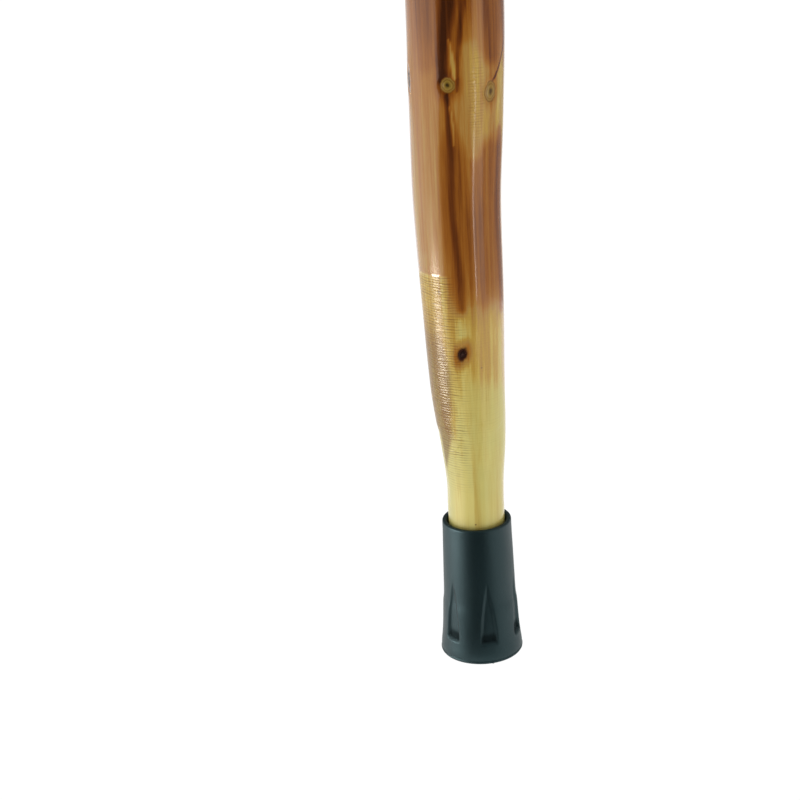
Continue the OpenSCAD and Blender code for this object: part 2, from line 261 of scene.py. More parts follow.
# ---------------------------------------------------------------- material helper
class Shader:
    """Short names for the nodes of one material."""

    def __init__(self, name):
        self.material = bpy.data.materials.new(name)
        self.material.use_nodes = True
        self.tree = self.material.node_tree
        self.bsdf = self.tree.nodes["Principled BSDF"]

    def link(self, value, socket):
        if isinstance(value, bpy.types.NodeSocket):
            self.tree.links.new(value, socket)
        else:
            socket.default_value = value

    def make(self, kind, out=0, settings=None, **inputs):
        node = self.tree.nodes.new(kind)
        for key, value in (settings or {}).items():
            setattr(node, key, value)
        for key, value in inputs.items():
            self.link(value, node.inputs[int(key[1:]) if key[1:].isdigit() else key.replace("_", " ")])
        return node.outputs[out]

    def calc(self, op, a, b=0.0, c=0.0, clamp=False):
        settings = {"operation": op, "use_clamp": clamp}
        return self.make("ShaderNodeMath", settings=settings, i0=a, i1=b, i2=c)

    def vector(self, op, a, b=None, scale=None, out=0):
        """Vector arithmetic; out=1 gives the single number of a length or a dot product."""
        inputs = {"i0": a}
        if b is not None:
            inputs["i1"] = b
        if scale is not None:
            inputs["Scale"] = scale
        return self.make("ShaderNodeVectorMath", out=out, settings={"operation": op}, **inputs)

    def scaled(self, x, y, z, vector=None):
        """Object coordinates stretched by x, y, z, in features per metre."""
        if vector is None:
            vector = self.make("ShaderNodeTexCoord", out=3)
        return self.make("ShaderNodeMapping", i0=vector, i3=(x, y, z))

    def noise(self, vector, detail=4.0, rough=0.5, warp=0.0, out=0):
        return self.make("ShaderNodeTexNoise", out=out, Vector=vector, Scale=1.0, Detail=detail,
                         Roughness=rough, Distortion=warp)

    def attribute(self, name):
        return self.make("ShaderNodeAttribute", out=2, settings={"attribute_name": name})

    def ramp(self, fac, stops, smooth_step=True):
        """Colours, or greys given as single numbers, at places along fac."""
        node = self.tree.nodes.new("ShaderNodeValToRGB")
        ramp = node.color_ramp
        ramp.interpolation = "EASE" if smooth_step else "LINEAR"
        while len(ramp.elements) < len(stops):
            ramp.elements.new(0.5)
        for element, (at, colour) in zip(ramp.elements, stops):
            element.position = at
            element.color = (colour, colour, colour, 1) if isinstance(colour, float) else (*colour, 1)
        self.link(fac, node.inputs[0])
        return node.outputs[0]

    def mix(self, fac, a, b, blend="MIX"):
        node = self.tree.nodes.new("ShaderNodeMix")
        node.data_type = "RGBA"
        node.blend_type = blend
        self.link(fac, node.inputs[0])
        self.link((*a, 1) if isinstance(a, tuple) else a, node.inputs[6])
        self.link((*b, 1) if isinstance(b, tuple) else b, node.inputs[7])
        return node.outputs[2]

    def bump(self, height, depth_mm, under=None):
        """Surface relief; height from 0 to 1 stands for depth_mm."""
        inputs = {"Strength": 1.0, "Distance": depth_mm * MM, "Height": height}
        if under is not None:
            inputs["Normal"] = under
        return self.make("ShaderNodeBump", **inputs)

    def finish(self, **inputs):
        """Set the shader's own sockets, named with underscores."""
        for key, value in inputs.items():
            if isinstance(value, tuple) and len(value) == 3:
                value = (*value, 1)
            self.link(value, self.bsdf.inputs[key.replace("_", " ")])
        return self.material


def srgb(r, g, b):
    """Linear colour from 0-255 display values."""
    def one(v):
        v /= 255
        return v / 12.92 if v <= 0.04045 else ((v + 0.055) / 1.055) ** 2.4
    return (one(r), one(g), one(b))


BLACK = (0.0, 0.0, 0.0)
WHITE = (1.0, 1.0, 1.0)


def dress(obj, material):
    obj.data.materials.clear()
    obj.data.materials.append(material)
    return obj


# ---------------------------------------------------------------- camera, lights and floor
def look(position, pitch, roll, focal_mm):
    """A camera facing +Y, pitched down and rolled, in degrees."""
    p, r = math.radians(pitch), math.radians(roll)
    forward = Vector((0, math.cos(p), -math.sin(p)))
    level = Vector((1, 0, 0))
    upward = level.cross(forward)
    right = level * math.cos(r) + upward * math.sin(r)
    up = upward * math.cos(r) - level * math.sin(r)
    data = bpy.data.cameras.new("camera")
    data.lens = focal_mm
    data.sensor_width = 36
    data.clip_start = 0.01
    data.clip_end = 50
    camera = bpy.data.objects.new("camera", data)
    bpy.context.scene.collection.objects.link(camera)
    basis = Matrix((right, up, -forward)).transposed()
    camera.matrix_world = Matrix.Translation(position) @ basis.to_4x4()
    bpy.context.scene.camera = camera


def softbox(name, centre, target, size, power, glint=False):
    data = bpy.data.lights.new(name, "AREA")
    data.shape = "RECTANGLE"
    data.size, data.size_y = size
    data.energy = power
    lamp = bpy.data.objects.new(name, data)
    lamp.location = centre
    lamp.rotation_euler = (Vector(target) - Vector(centre)).to_track_quat("-Z", "Y").to_euler()
    lamp.visible_camera = False
    lamp.visible_diffuse = not glint
    bpy.context.scene.collection.objects.link(lamp)


def slab(name, bottom, top, half=9000):
    """A level slab far wider than the crutch."""
    return skin(name, [[(-half, -half, z), (half, -half, z), (half, half, z), (-half, half, z)]
                       for z in (bottom, top)])


LOW_FLOOR_Z = -90.0  # the leg reaches 75 mm below its place at rest


def make_studio():
    look((-0.0275, -0.5789, 0.3196), pitch=20.05, roll=-3.43, focal_mm=72)

    world = bpy.data.worlds.new("studio")
    bpy.context.scene.world = world
    world.use_nodes = True
    background = world.node_tree.nodes["Background"]
    background.inputs["Color"].default_value = (*WHITE, 1)
    background.inputs["Strength"].default_value = 0.26
    bpy.context.scene.view_settings.view_transform = "Standard"

    # low strips beside the leg give the varnish its long pale reflections
    softbox("left_strip", (-0.62, -0.10, 0.20), (0, 0, 0.20), (0.95, 0.40), 0.8)
    softbox("right_strip", (0.60, -0.12, 0.20), (0, 0, 0.20), (0.70, 0.40), 0.5)
    # softer tall boxes light the rest of the crutch
    softbox("left_box", (-0.75, -0.25, 0.90), (0, 0, 0.80), (0.95, 0.90), 2.6)
    softbox("right_box", (0.75, -0.25, 0.90), (0, 0, 0.80), (0.70, 0.90), 1.8)
    softbox("top_box", (0.0, 0.1, 2.2), (0, 0, 0.4), (1.6, 1.6), 7)
    # a lamp near the table that only glints on the rasped wood
    softbox("glint", (-0.31, -0.078, 0.026), (0, 0, 0.13), (0.15, 0.045), 0.8, glint=True)

    floor = slab("floor", -0.5, 0.0)
    s = Shader("light_table")
    cloud = s.noise(s.scaled(3, 3, 3), detail=3)
    table = s.ramp(cloud, [(0.3, (0.88, 0.88, 0.88)), (0.7, (0.91, 0.91, 0.905))])
    dress(floor, s.finish(Base_Color=table, Roughness=0.8, Emission_Color=WHITE, Emission_Strength=0.74))
    # it lights the foot of the crutch, but the camera sees a floor below the leg's lowest place
    floor.visible_camera = False
    floor.visible_shadow = False

    low = slab("paper_floor", LOW_FLOOR_Z - 20, LOW_FLOOR_Z)
    s = Shader("white_paper")
    dress(low, s.finish(Base_Color=BLACK, Roughness=1.0, Emission_Color=WHITE, Emission_Strength=1.0))
    only_seen_by(low, camera=True)

    # a pale paper wall far around the table, seen by the camera only
    turn = np.radians(np.arange(0, 360, 7.5))
    wall = skin("paper_wall", [
        np.c_[r * np.sin(turn), r * np.cos(turn), np.full(len(turn), z)]
        for r, z in ((8500, LOW_FLOOR_Z), (8500, 9000.0), (8520, 9000.0), (8520, LOW_FLOOR_Z))
    ], closed=True)
    s = Shader("lit_paper")
    fibres = s.noise(s.scaled(0.6, 0.6, 0.6), detail=3)
    paper = s.ramp(fibres, [(0.3, (0.86, 0.86, 0.86)), (0.7, (0.90, 0.90, 0.89))])
    dress(wall, s.finish(Base_Color=BLACK, Roughness=1.0, Emission_Color=paper, Emission_Strength=1.0))
    only_seen_by(wall, camera=True)

    # black velvet behind the camera, and grey cloth to the right: only reflections see them
    screen_around("black_velvet", -47, 34, ((26, 1.0), (380, 1.0), (380, 420.0)), 0.0)
    screen_around("grey_cloth", 66, 150, ((380, 30.0), (380, 420.0)), 0.38)

    # a slim lit card at the screen's right-hand edge draws a thin pale line down the varnish
    card = solid("lit_card", [(385 * math.sin(a), -385 * math.cos(a), z)
                              for z in (22.0, 175.0) for a in np.radians((34.0, 37.5))], [(0, 1, 3, 2)])
    s = Shader("lit_card")
    lit = s.ramp(s.noise(s.scaled(60, 60, 30)), [(0.35, (0.7, 0.7, 0.7)), (0.65, WHITE)])
    dress(card, s.finish(Base_Color=BLACK, Emission_Color=lit, Emission_Strength=9.0))
    only_seen_by(card, glossy=True)


def screen_around(name, start, stop, profile, glow):
    """A curved screen between two angles from the front; profile is (radius, height) places."""
    count = 24
    angle = np.radians(np.linspace(start, stop, count))
    corners = [count * row + i for row in range(len(profile) - 1) for i in range(count - 1)]
    screen = solid(name, [(r * math.sin(a), -r * math.cos(a), z) for r, z in profile for a in angle],
                   [(k, k + 1, k + count + 1, k + count) for k in corners])
    s = Shader(name)
    weave = s.noise(s.scaled(40, 40, 40))
    dress(screen, s.finish(Base_Color=s.ramp(weave, [(0.4, 0.003), (0.6, 0.005)]), Roughness=1.0,
                           Emission_Color=WHITE, Emission_Strength=glow))
    only_seen_by(screen, glossy=True)


def only_seen_by(obj, camera=False, glossy=False):
    """Hide a studio piece from every ray but the named kind."""
    obj.visible_camera = camera
    obj.visible_glossy = glossy
    obj.visible_diffuse = False
    obj.visible_transmission = False
    obj.visible_shadow = False


make_studio()

# ---------------------------------------------------------------- the pole's figure
# Streaks: strength, softness, and places of the centre line as (height, angle, half width)
STREAKS = {
    "heart_core": (0.27, 0.9, [(148, -4.5, 4.5), (159, -4.5, 5.0), (182, -8.5, 3.8), (207, -9.5, 4.2),
                               (220, -12.2, 2.0), (227, -13, 1.6)]),
    "heart": (0.14, 0.5, [(147, -6, 8.0), (159, -8, 12.0), (182, -9, 15.5), (207, -8, 13.5), (216, -9, 7.0),
                          (226, -13, 3.0)]),
    "gold_side": (0.05, 0.6, [(150, 8, 5.0), (182, 9, 6.5), (207, 8, 7.0), (222, 4, 5.0), (232, 2, 3.0)]),
    "crown": (0.30, 0.8, [(232, -18, 5.0), (239, -19, 6.5), (250, -14, 7.0), (258, -10, 8.0),
                          (300, -8, 8.0), (345, -6, 8.0), (450, -3, 6.0), (600, -6, 2.5)]),
    "crown_glow": (0.16, 0.8, [(228, -12, 12.0), (245, -10, 18.0), (262, -8, 20.0), (345, -6, 20.0),
                               (480, -4, 15.0), (640, -4, 6.0)]),
    "beside_slit": (0.24, 0.8, [(228, -1, 1.4), (239, 0, 2.3), (250, 4, 2.8), (258, 7.5, 3.0),
                                (345, 9, 3.6), (430, 12, 2.2), (520, 13, 0.9)]),
    "right": (0.17, 0.9, [(152, 34, 14.0), (180, 36, 16.0), (206, 38, 13.0)]),
    # right_band is scorch darkened further as painted shade, standing in for a dark reflection along the
    # right-hand edge
    "right_band": (0.24, 0.8, [(146, 66, 8.0), (180, 63, 7.0), (212, 60, 6.0)]),
    "right_top": (0.19, 0.9, [(240, 44, 12.0), (258, 44, 24.0), (345, 40, 22.0), (420, 32, 14.0),
                               (540, 26, 4.0)]),
    "right_edge": (0.18, 0.7, [(236, 74, 7.0), (258, 72, 8.0), (345, 70, 9.0)]),
    "left_high": (0.10, 0.9, [(238, -44, 12.0), (258, -44, 18.0), (345, -46, 16.0), (440, -40, 8.0)]),
    "left_far": (0.08, 0.9, [(170, -58, 7.0), (230, -64, 8.0), (345, -60, 9.0)]),
}
# the same, but paler than the wood around them; the slit is a pale worn spot with a painted highlight along
# its ridge
PALE = {
    "slit": (0.34, 0.7, [(232.5, -3.7, 1.7), (238, -6.0, 2.4), (246, -9.5, 0.9)]),
    "under_knot": (0.22, 0.7, [(209, -5.5, 1.4), (216, -6.5, 1.4), (222.5, -9.5, 0.9)]),
    "patch": (0.15, 1.0, [(206, 20, 8.0), (216, 24, 20.0), (230, 24, 24.0), (242, 10, 9.0)]),
}
KNOTS = [  # angle, height, radius around the pole, radius along it, tilt
    (-13.1, 230.2, 2.9, 3.0, 0),
    (40.9, 226.6, 2.9, 4.1, -8),
    (-7.0, 130.2, 2.4, 3.9, -18),
    (-35.4, 154.3, 0.75, 0.9, 0),
    (20.6, 124.2, 0.45, 0.5, 0),
    (-4.9, 58.9, 0.5, 0.45, 0),
    (-77.0, 231.0, 1.5, 5.0, 4),
    (152.0, 188.0, 3.0, 4.0, 10),
    (-130.0, 262.0, 2.8, 3.4, -5),
    (120.0, 300.0, 2.6, 3.2, 0),
]
BURNT = (2, 6)  # places in KNOTS of the burnt eye and the scar on the left edge
PIN_KNOTS = (3, 4, 5)
RADIUS = 17.0  # turns angles into distances along the pole's surface


def away(phi, centre):
    """Signed angle from centre, in degrees."""
    return (np.asarray(phi) - centre + 180) % 360 - 180


def streak(phi, z, wobble, strength, softness, line):
    """Soft-edged stroke along a line of (height, angle, half width) places, with round ends."""
    line = np.array(line, float)
    centre = np.interp(z, line[:, 0], line[:, 1]) + 2.2 * wobble
    half = np.interp(z, line[:, 0], line[:, 2])
    beyond = np.maximum(np.maximum(line[0, 0] - z, z - line[-1, 0]), 0)
    reach = np.hypot(np.abs(away(phi, centre)) / half, beyond / (0.3 * half))
    return strength * smooth(1 + softness, 1 - softness * 0.8, reach)


def knot_reach(phi, z, knot):
    """Distance from a knot's centre, 1 at its rim."""
    angle, height, around, along, tilt = knot
    side = np.radians(away(phi, angle)) * RADIUS
    up = z - height
    c, s = math.cos(math.radians(tilt)), math.sin(math.radians(tilt))
    return np.hypot((side * c + up * s) / around, (up * c - side * s) / along)


def scorch_of(phi, z, points):
    """How dark the pole is toasted: 0 bare wood, 1 nearly black."""
    wobble = wander(points, (0.05, 0.05, 0.018), 1)
    fine = wander(points, (0.35, 0.35, 0.02), 2)
    broad = wander(points, (0.045, 0.045, 0.008), 3)
    start = 151 + 5 * broad + 5 * wobble
    base = 0.05 + 0.06 * smooth(92, 104, z) + 0.11 * smooth(110, 134, z + 0.12 * away(phi, -10))
    shaded = smooth(start - 15, start + 10, z)
    rasped = smooth(-16, -30, phi) * smooth(-150, -130, phi)
    shaded = shaded * (1 - rasped) + smooth(159.9, 160.9, z) * rasped
    base = base + 0.27 * shaded + 0.04 * smooth(240, 262, z)
    lighter = 0.075 * smooth(-18, -34, phi) * smooth(-118, -90, phi)
    base = base - lighter * smooth(158, 164, z) * smooth(252, 232, z)
    base = base + 0.07 * rasped * smooth(150, 120, z) * smooth(88, 100, z)
    toast = base + 0.06 * fine + 0.05 * broad * smooth(120, 170, z)
    for stroke in STREAKS.values():
        toast = toast + streak(phi, z, wobble, *stroke)
    for stroke in PALE.values():
        toast = toast - streak(phi, z, wobble, *stroke)
    # the back and the upper shaft have streaks of their own
    rest = np.clip(smooth(80, 105, np.abs(phi)) * smooth(150, 175, z) + smooth(262, 290, z), 0, 1)
    rough = wander(points, (0.16, 0.16, 0.009), 5)
    toast = toast + rest * 0.40 * smooth(0.02, 0.42, rough)
    # dark line that rises from the right-hand knot to the edge
    arch = 227.5 + 0.30 * (phi - 43) + 0.004 * (phi - 43) ** 2
    line = smooth(1.1, 0.3, np.abs(z - arch - 2.4)) * smooth(42, 46, phi) * smooth(84, 70, phi)
    toast = toast + 0.46 * line
    below = smooth(arch + 2.2, arch + 1.0, z) * smooth(48, 56, phi) * smooth(205, 214, z)
    toast = toast - 0.22 * below * smooth(90, 76, phi)
    for knot in KNOTS:
        halo = 0.30 if knot is KNOTS[BURNT[0]] else 0.10
        if knot[3] > 1:
            toast = toast + halo * smooth(2.2, 0.9, knot_reach(phi, z, knot))
    return np.clip(toast, 0, 1)


def rasp_of(phi, z, points):
    """Where the rasp has left rings across the grain."""
    ragged = wander(points, (0.12, 0.12, 0.1), 7)
    lower = smooth(70, 92, z + 5 * ragged) * smooth(160.8, 159.6, z - 0.02 * away(phi, -30))
    left = 0.10 + 0.90 * smooth(6, -28, phi)
    left = left * (1 - 0.8 * smooth(146, 156, z) * smooth(-22, -8, phi))
    ridges = smooth(1.2, 0.7, np.hypot(away(phi, 21) / 11, (z - 226) / 17))
    return np.clip(lower * left + 0.45 * ridges, 0, 1)


def grime_of(phi, z, points):
    """The unshaved grey-brown tongue on the left that runs to a point."""
    ragged = wander(points, (0.25, 0.25, 0.08), 8)
    right_edge = np.interp(z, [77.6, 95.9, 108, 121, 134, 150], [-69, -36, -29, -26, -34, -58])
    left_edge = np.interp(z, [77.6, 90, 96, 100, 150], [-70, -69, -74, -130, -170])
    inside = smooth(right_edge + 3, right_edge - 7, phi + 4 * ragged)
    inside = inside * smooth(left_edge - 0.5, left_edge + 1.5, phi)
    return inside * smooth(76.5, 79, z) * smooth(150, 128, z)


def natural_radius(phi, z, points):
    """Relief of the natural pole on top of its round sections."""
    free = smooth(66, 110, z) * smooth(LEG_TOP, LEG_TOP - 40, z)
    lumps = 0.22 * wander(points, (0.05, 0.05, 0.022), 11) + 0.07 * wander(points, (0.3, 0.3, 0.03), 12)
    relief = free * lumps
    for knot in KNOTS:
        far = knot_reach(phi, z, knot)
        size = min(knot[3] / 3, 1.0)
        relief = relief + size * (0.38 * np.exp(-((far / 2.2) ** 2)) - 0.32 * smooth(1.2, 0.85, far))
        relief = relief + size * 0.20 * smooth(0.8, 0.4, far)
    # knife cuts: a flat facet left of the tongue, and a shallow step across the front
    facet = smooth(-66, -73, phi) * smooth(-125, -105, phi) * smooth(62, 76, z) * smooth(99, 94, z)
    step_line = 99.5 + 2.4 * np.sin(np.radians(phi * 5 + 60)) - 7 * smooth(-12, -34, phi)
    step = smooth(step_line + 0.6, step_line - 0.4, z) * smooth(66, 84, z)
    relief = relief - 0.34 * facet - 0.16 * step * smooth(-48, -30, phi) * smooth(70, 45, phi)
    rings = np.sin(z * 2 * np.pi / 1.65 + 2.4 * wander(points, (0.1, 0.1, 0.3), 13))
    relief = relief + 0.022 * rings * rasp_of(phi, z, points)
    start = smooth(159.6, 160.8, z) * smooth(-22, -32, phi) * smooth(-150, -130, phi)
    return relief + 0.02 * start * smooth(190, 161, z)


def upper_radius(z):
    """Radius of the shaft above the natural pole, with a slight swelling at its start."""
    return SHAFT_D / 2 + 0.3 * (1 - smooth(FLATS_FROM, FLATS_FROM + 15, z))


def pole_rings(heights, sides):
    """Rings of the pole, cut to two flats above the shoulder."""
    rings = []
    angle = np.degrees(np.linspace(0, 2 * np.pi, sides, endpoint=False))
    angle = (angle + 180) % 360 - 180
    for z in heights:
        natural = z < FLATS_FROM
        radius = curve_through(POLE, 1, z) / 2 if natural else upper_radius(z)
        bend = curve_through(POLE, 2, z) if natural else 0.0
        direction = np.c_[np.sin(np.radians(angle)), -np.cos(np.radians(angle))]
        at = np.c_[direction * radius, np.full(sides, z)]
        r = radius + natural_radius(angle, np.full(sides, z), at)
        bevel = max(0.0, z - (LEG_TOP - 3))
        r = r - bevel
        x = r * direction[:, 0] + bend
        y = r * direction[:, 1]
        # sloping shoulders, then flats
        half = np.interp(z, [FLATS_FROM, FLATS_FROM + 14], [SHAFT_D / 2 + 1.2, FLAT_T / 2])
        if z > FLATS_FROM:
            over = np.maximum(np.abs(x) - half, 0)
            x = np.sign(x) * (np.abs(x) - over)
        rings.append(np.c_[x, y, np.full(sides, z)])
    return rings


def make_leg():
    coarse = 1
    fine_z = np.arange(50, 262, 0.55 * coarse)
    heights = np.r_[
        np.arange(POLE_FOOT, 50, 4), fine_z, np.arange(fine_z[-1] + 1.2, FLATS_FROM - 1, 1.5),
        np.arange(FLATS_FROM - 0.5, FLATS_FROM + 18, 1.0),
        np.arange(FLATS_FROM + 20, LEG_TOP - 3, 2.5), np.arange(LEG_TOP - 3, LEG_TOP + 0.01, 0.75),
    ]
    leg = skin("pole", pole_rings(heights, 160 // coarse))
    holes = np.arange(LOWER_BOLT_Z - 3 * PITCH, UPPER_BOLT_Z + 3 * PITCH + 1, PITCH)
    drill(leg, [cylinder_x(HOLE_D / 2, -30, 30, z) for z in holes])

    co, z = points_of(leg)
    bend = np.where(z < FLATS_FROM, curve_through(POLE, 2, np.minimum(z, FLATS_FROM)), 0)
    phi = np.degrees(np.arctan2(co[:, 0] - bend, -co[:, 1]))
    sideways = np.abs(co[:, 0])
    flats = smooth(FLATS_FROM, FLATS_FROM + 6, z) * smooth(FLAT_T / 2 - 0.5, FLAT_T / 2 - 0.1, sideways)
    toast = scorch_of(phi, z, co)
    toast = toast * (1 - 0.45 * flats)
    for hole in holes:
        rim = np.hypot(co[:, 1], z - hole)
        toast = np.maximum(toast, 0.75 * smooth(4.6, 3.4, rim) * flats)
    paint(leg, "scorch", toast)
    paint(leg, "rasp", rasp_of(phi, z, co))
    paint(leg, "grime", grime_of(phi, z, co))
    paint(leg, "fresh", smooth(124, 116, z + 0.10 * phi) * smooth(-14, 6, phi) * smooth(150, 110, phi))
    dress(leg, pole_wood())
    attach(leg, "leg")
    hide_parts("leg_shaft")


def pole_wood():
    s = Shader("scorched_pole_wood")
    where = s.make("ShaderNodeTexCoord", out=3)
    fibre = s.noise(s.scaled(620, 620, 18, where), detail=5, rough=0.7)
    grain = s.noise(s.scaled(150, 150, 5, where), detail=4, rough=0.6, warp=0.4)
    mottle = s.noise(s.scaled(60, 60, 22, where), detail=3)

    # how toasted the wood is, broken up by its grain
    toast = s.attribute("scorch")
    toast = s.calc("MULTIPLY_ADD", s.calc("SUBTRACT", grain, 0.5), 0.55, toast)
    toast = s.calc("MULTIPLY_ADD", s.calc("SUBTRACT", fibre, 0.5), 0.55, toast, clamp=True)
    colour = s.ramp(toast, [
        (0.00, srgb(213, 198, 115)), (0.12, srgb(203, 178, 90)), (0.24, srgb(186, 149, 62)),
        (0.36, srgb(172, 130, 62)), (0.48, srgb(164, 108, 36)), (0.62, srgb(146, 84, 16)),
        (0.80, srgb(108, 52, 6)), (1.0, srgb(62, 26, 4)),
    ], smooth_step=False)
    bare = s.ramp(toast, [(0.05, 1.0), (0.25, 0.0)])
    green = s.calc("MULTIPLY", bare, s.ramp(mottle, [(0.42, 0.0), (0.6, 0.6)]))
    colour = s.mix(green, colour, srgb(196, 190, 118))
    fresh = s.calc("MULTIPLY", s.attribute("fresh"), s.ramp(mottle, [(0.3, 0.35), (0.65, 0.8)]))
    colour = s.mix(fresh, colour, srgb(192, 183, 103))
    colour = s.mix(s.calc("MULTIPLY", s.attribute("grime"), 0.66), colour, srgb(112, 76, 42))

    # rasp rings: fine dark lines across the grain, unevenly spaced and broken
    height = s.make("ShaderNodeSeparateXYZ", out=2, i0=where)
    drift = s.noise(s.scaled(70, 70, 260, where), detail=4, rough=0.6)
    pitch = 0.00105  # metres between rings
    uneven = s.calc("MULTIPLY", drift, 13.0)
    wave = s.calc("SINE", s.calc("MULTIPLY_ADD", height, 2 * math.pi / pitch, uneven))
    broken = s.noise(s.scaled(160, 160, 700, where), detail=2)
    crests = s.ramp(wave, [(0.0, 0.0), (0.9, 1.0)])
    lines = s.calc("MULTIPLY", crests, s.ramp(broken, [(0.34, 0.25), (0.58, 1.0)]))
    rasp = s.attribute("rasp")
    shade = s.calc("MULTIPLY", s.calc("MULTIPLY", lines, rasp), 0.58)
    colour = s.mix(shade, colour, srgb(104, 60, 22))

    # knots: rings and a dark heart
    for number, (angle, up, around, along, tilt) in enumerate(KNOTS):
        a, t = math.radians(angle), math.radians(tilt)
        radius, shift = (float(curve_through(POLE, column, up)) for column in (1, 2))
        centre = Vector((shift + radius / 2 * math.sin(a), -radius / 2 * math.cos(a), up)) * MM
        side = Vector((math.cos(a), math.sin(a), 0))
        rise = Vector((0, 0, 1))
        outward = Vector((math.sin(a), -math.cos(a), 0))
        axes = ((side * math.cos(t) + rise * math.sin(t)) / (around * MM),
                (rise * math.cos(t) - side * math.sin(t)) / (along * MM), outward / 0.012)
        offset = s.vector("SUBTRACT", where, centre)
        parts = [s.vector("DOT_PRODUCT", offset, axis, out=1) for axis in axes]
        flat = s.make("ShaderNodeCombineXYZ", i0=parts[0], i1=parts[1], i2=parts[2])
        # noise lies around 0.5, so half its reach is taken off again
        ragged = s.vector("SCALE", s.noise(s.scaled(650, 650, 450, where), detail=4, out=1), scale=0.42)
        far = s.vector("SUBTRACT", s.vector("ADD", flat, ragged), (0.21, 0.21, 0.21))
        far = s.vector("LENGTH", far, out=1)
        if number in BURNT:
            # the burnt eye's centre is paler than the dark ring round it: a painted highlight on its heart
            inside = s.ramp(far, [(0.0, srgb(66, 44, 40)), (0.28, srgb(36, 20, 16)), (0.62, srgb(58, 24, 10)),
                                  (1.0, srgb(112, 62, 20))], smooth_step=False)
            mask = s.ramp(far, [(0.55, 1.0), (1.25, 0.0)])
        elif number in PIN_KNOTS:
            inside = s.ramp(far, [(0.2, srgb(80, 58, 30)), (0.6, srgb(150, 116, 66))], smooth_step=False)
            mask = s.ramp(far, [(0.5, 0.85), (1.1, 0.0)])
        else:
            inside = s.ramp(far, [
                (0.0, srgb(38, 32, 8)), (0.17, srgb(56, 48, 14)), (0.32, srgb(120, 96, 34)),
                (0.52, srgb(150, 122, 50)), (0.66, srgb(120, 86, 28)), (0.76, srgb(148, 116, 46)),
                (0.93, srgb(108, 62, 14)), (1.0, srgb(130, 78, 20)),
            ], smooth_step=False)
            strength = 0.9 if number == 0 else 0.8
            mask = s.calc("MULTIPLY", s.ramp(far, [(0.88, 1.0), (1.10, 0.0)]), strength)
        colour = s.mix(mask, colour, inside)

    relief = s.bump(s.calc("MULTIPLY", wave, rasp), 0.02, s.bump(fibre, 0.03))
    varnish = s.ramp(toast, [(0.06, 0.40), (0.30, 0.24)])
    varnish = s.calc("MAXIMUM", varnish, s.calc("MULTIPLY", rasp, 0.27))
    coat = s.calc("MULTIPLY_ADD", rasp, -0.5, 0.5, clamp=True)
    return s.finish(Base_Color=colour, Roughness=varnish, Normal=relief, IOR=1.4,
                    Specular_Tint=(1.0, 0.92, 0.72), Coat_Weight=coat, Coat_Roughness=0.05, Coat_IOR=1.45)


# ---------------------------------------------------------------- ferrule
FLUTES = 6
FLUTE_TURN = 8.8
LEDGE_Z = 8.9
FERRULE_OUTSIDE = [  # height, radius
    (2.0, 16.3), (7.0, 15.8), (11.6, 15.4), (21.0, 14.9), (25.0, 14.45), (34.0, 14.2),
    (43.0, 13.95), (FERRULE_H - 0.6, 13.65),
]


def flute_depth(angle, z):
    """Depth of the scalloped flutes: pointed arches above a flat ledge."""
    share = 360 / FLUTES
    across = np.abs((angle - FLUTE_TURN + share / 2) % share - share / 2)
    up = np.clip((z - LEDGE_Z) / 26.5, 0, 1)
    half = 14.0 * (1 - up**1.8)
    deep = 0.25 + 1.15 * (1 - up) ** 0.9
    inside = np.clip((half - across) * 0.17, 0, 1)
    bowl = smooth(0, 1, inside) ** 0.8
    return deep * bowl * smooth(LEDGE_Z - 0.15, LEDGE_Z + 0.35, z)


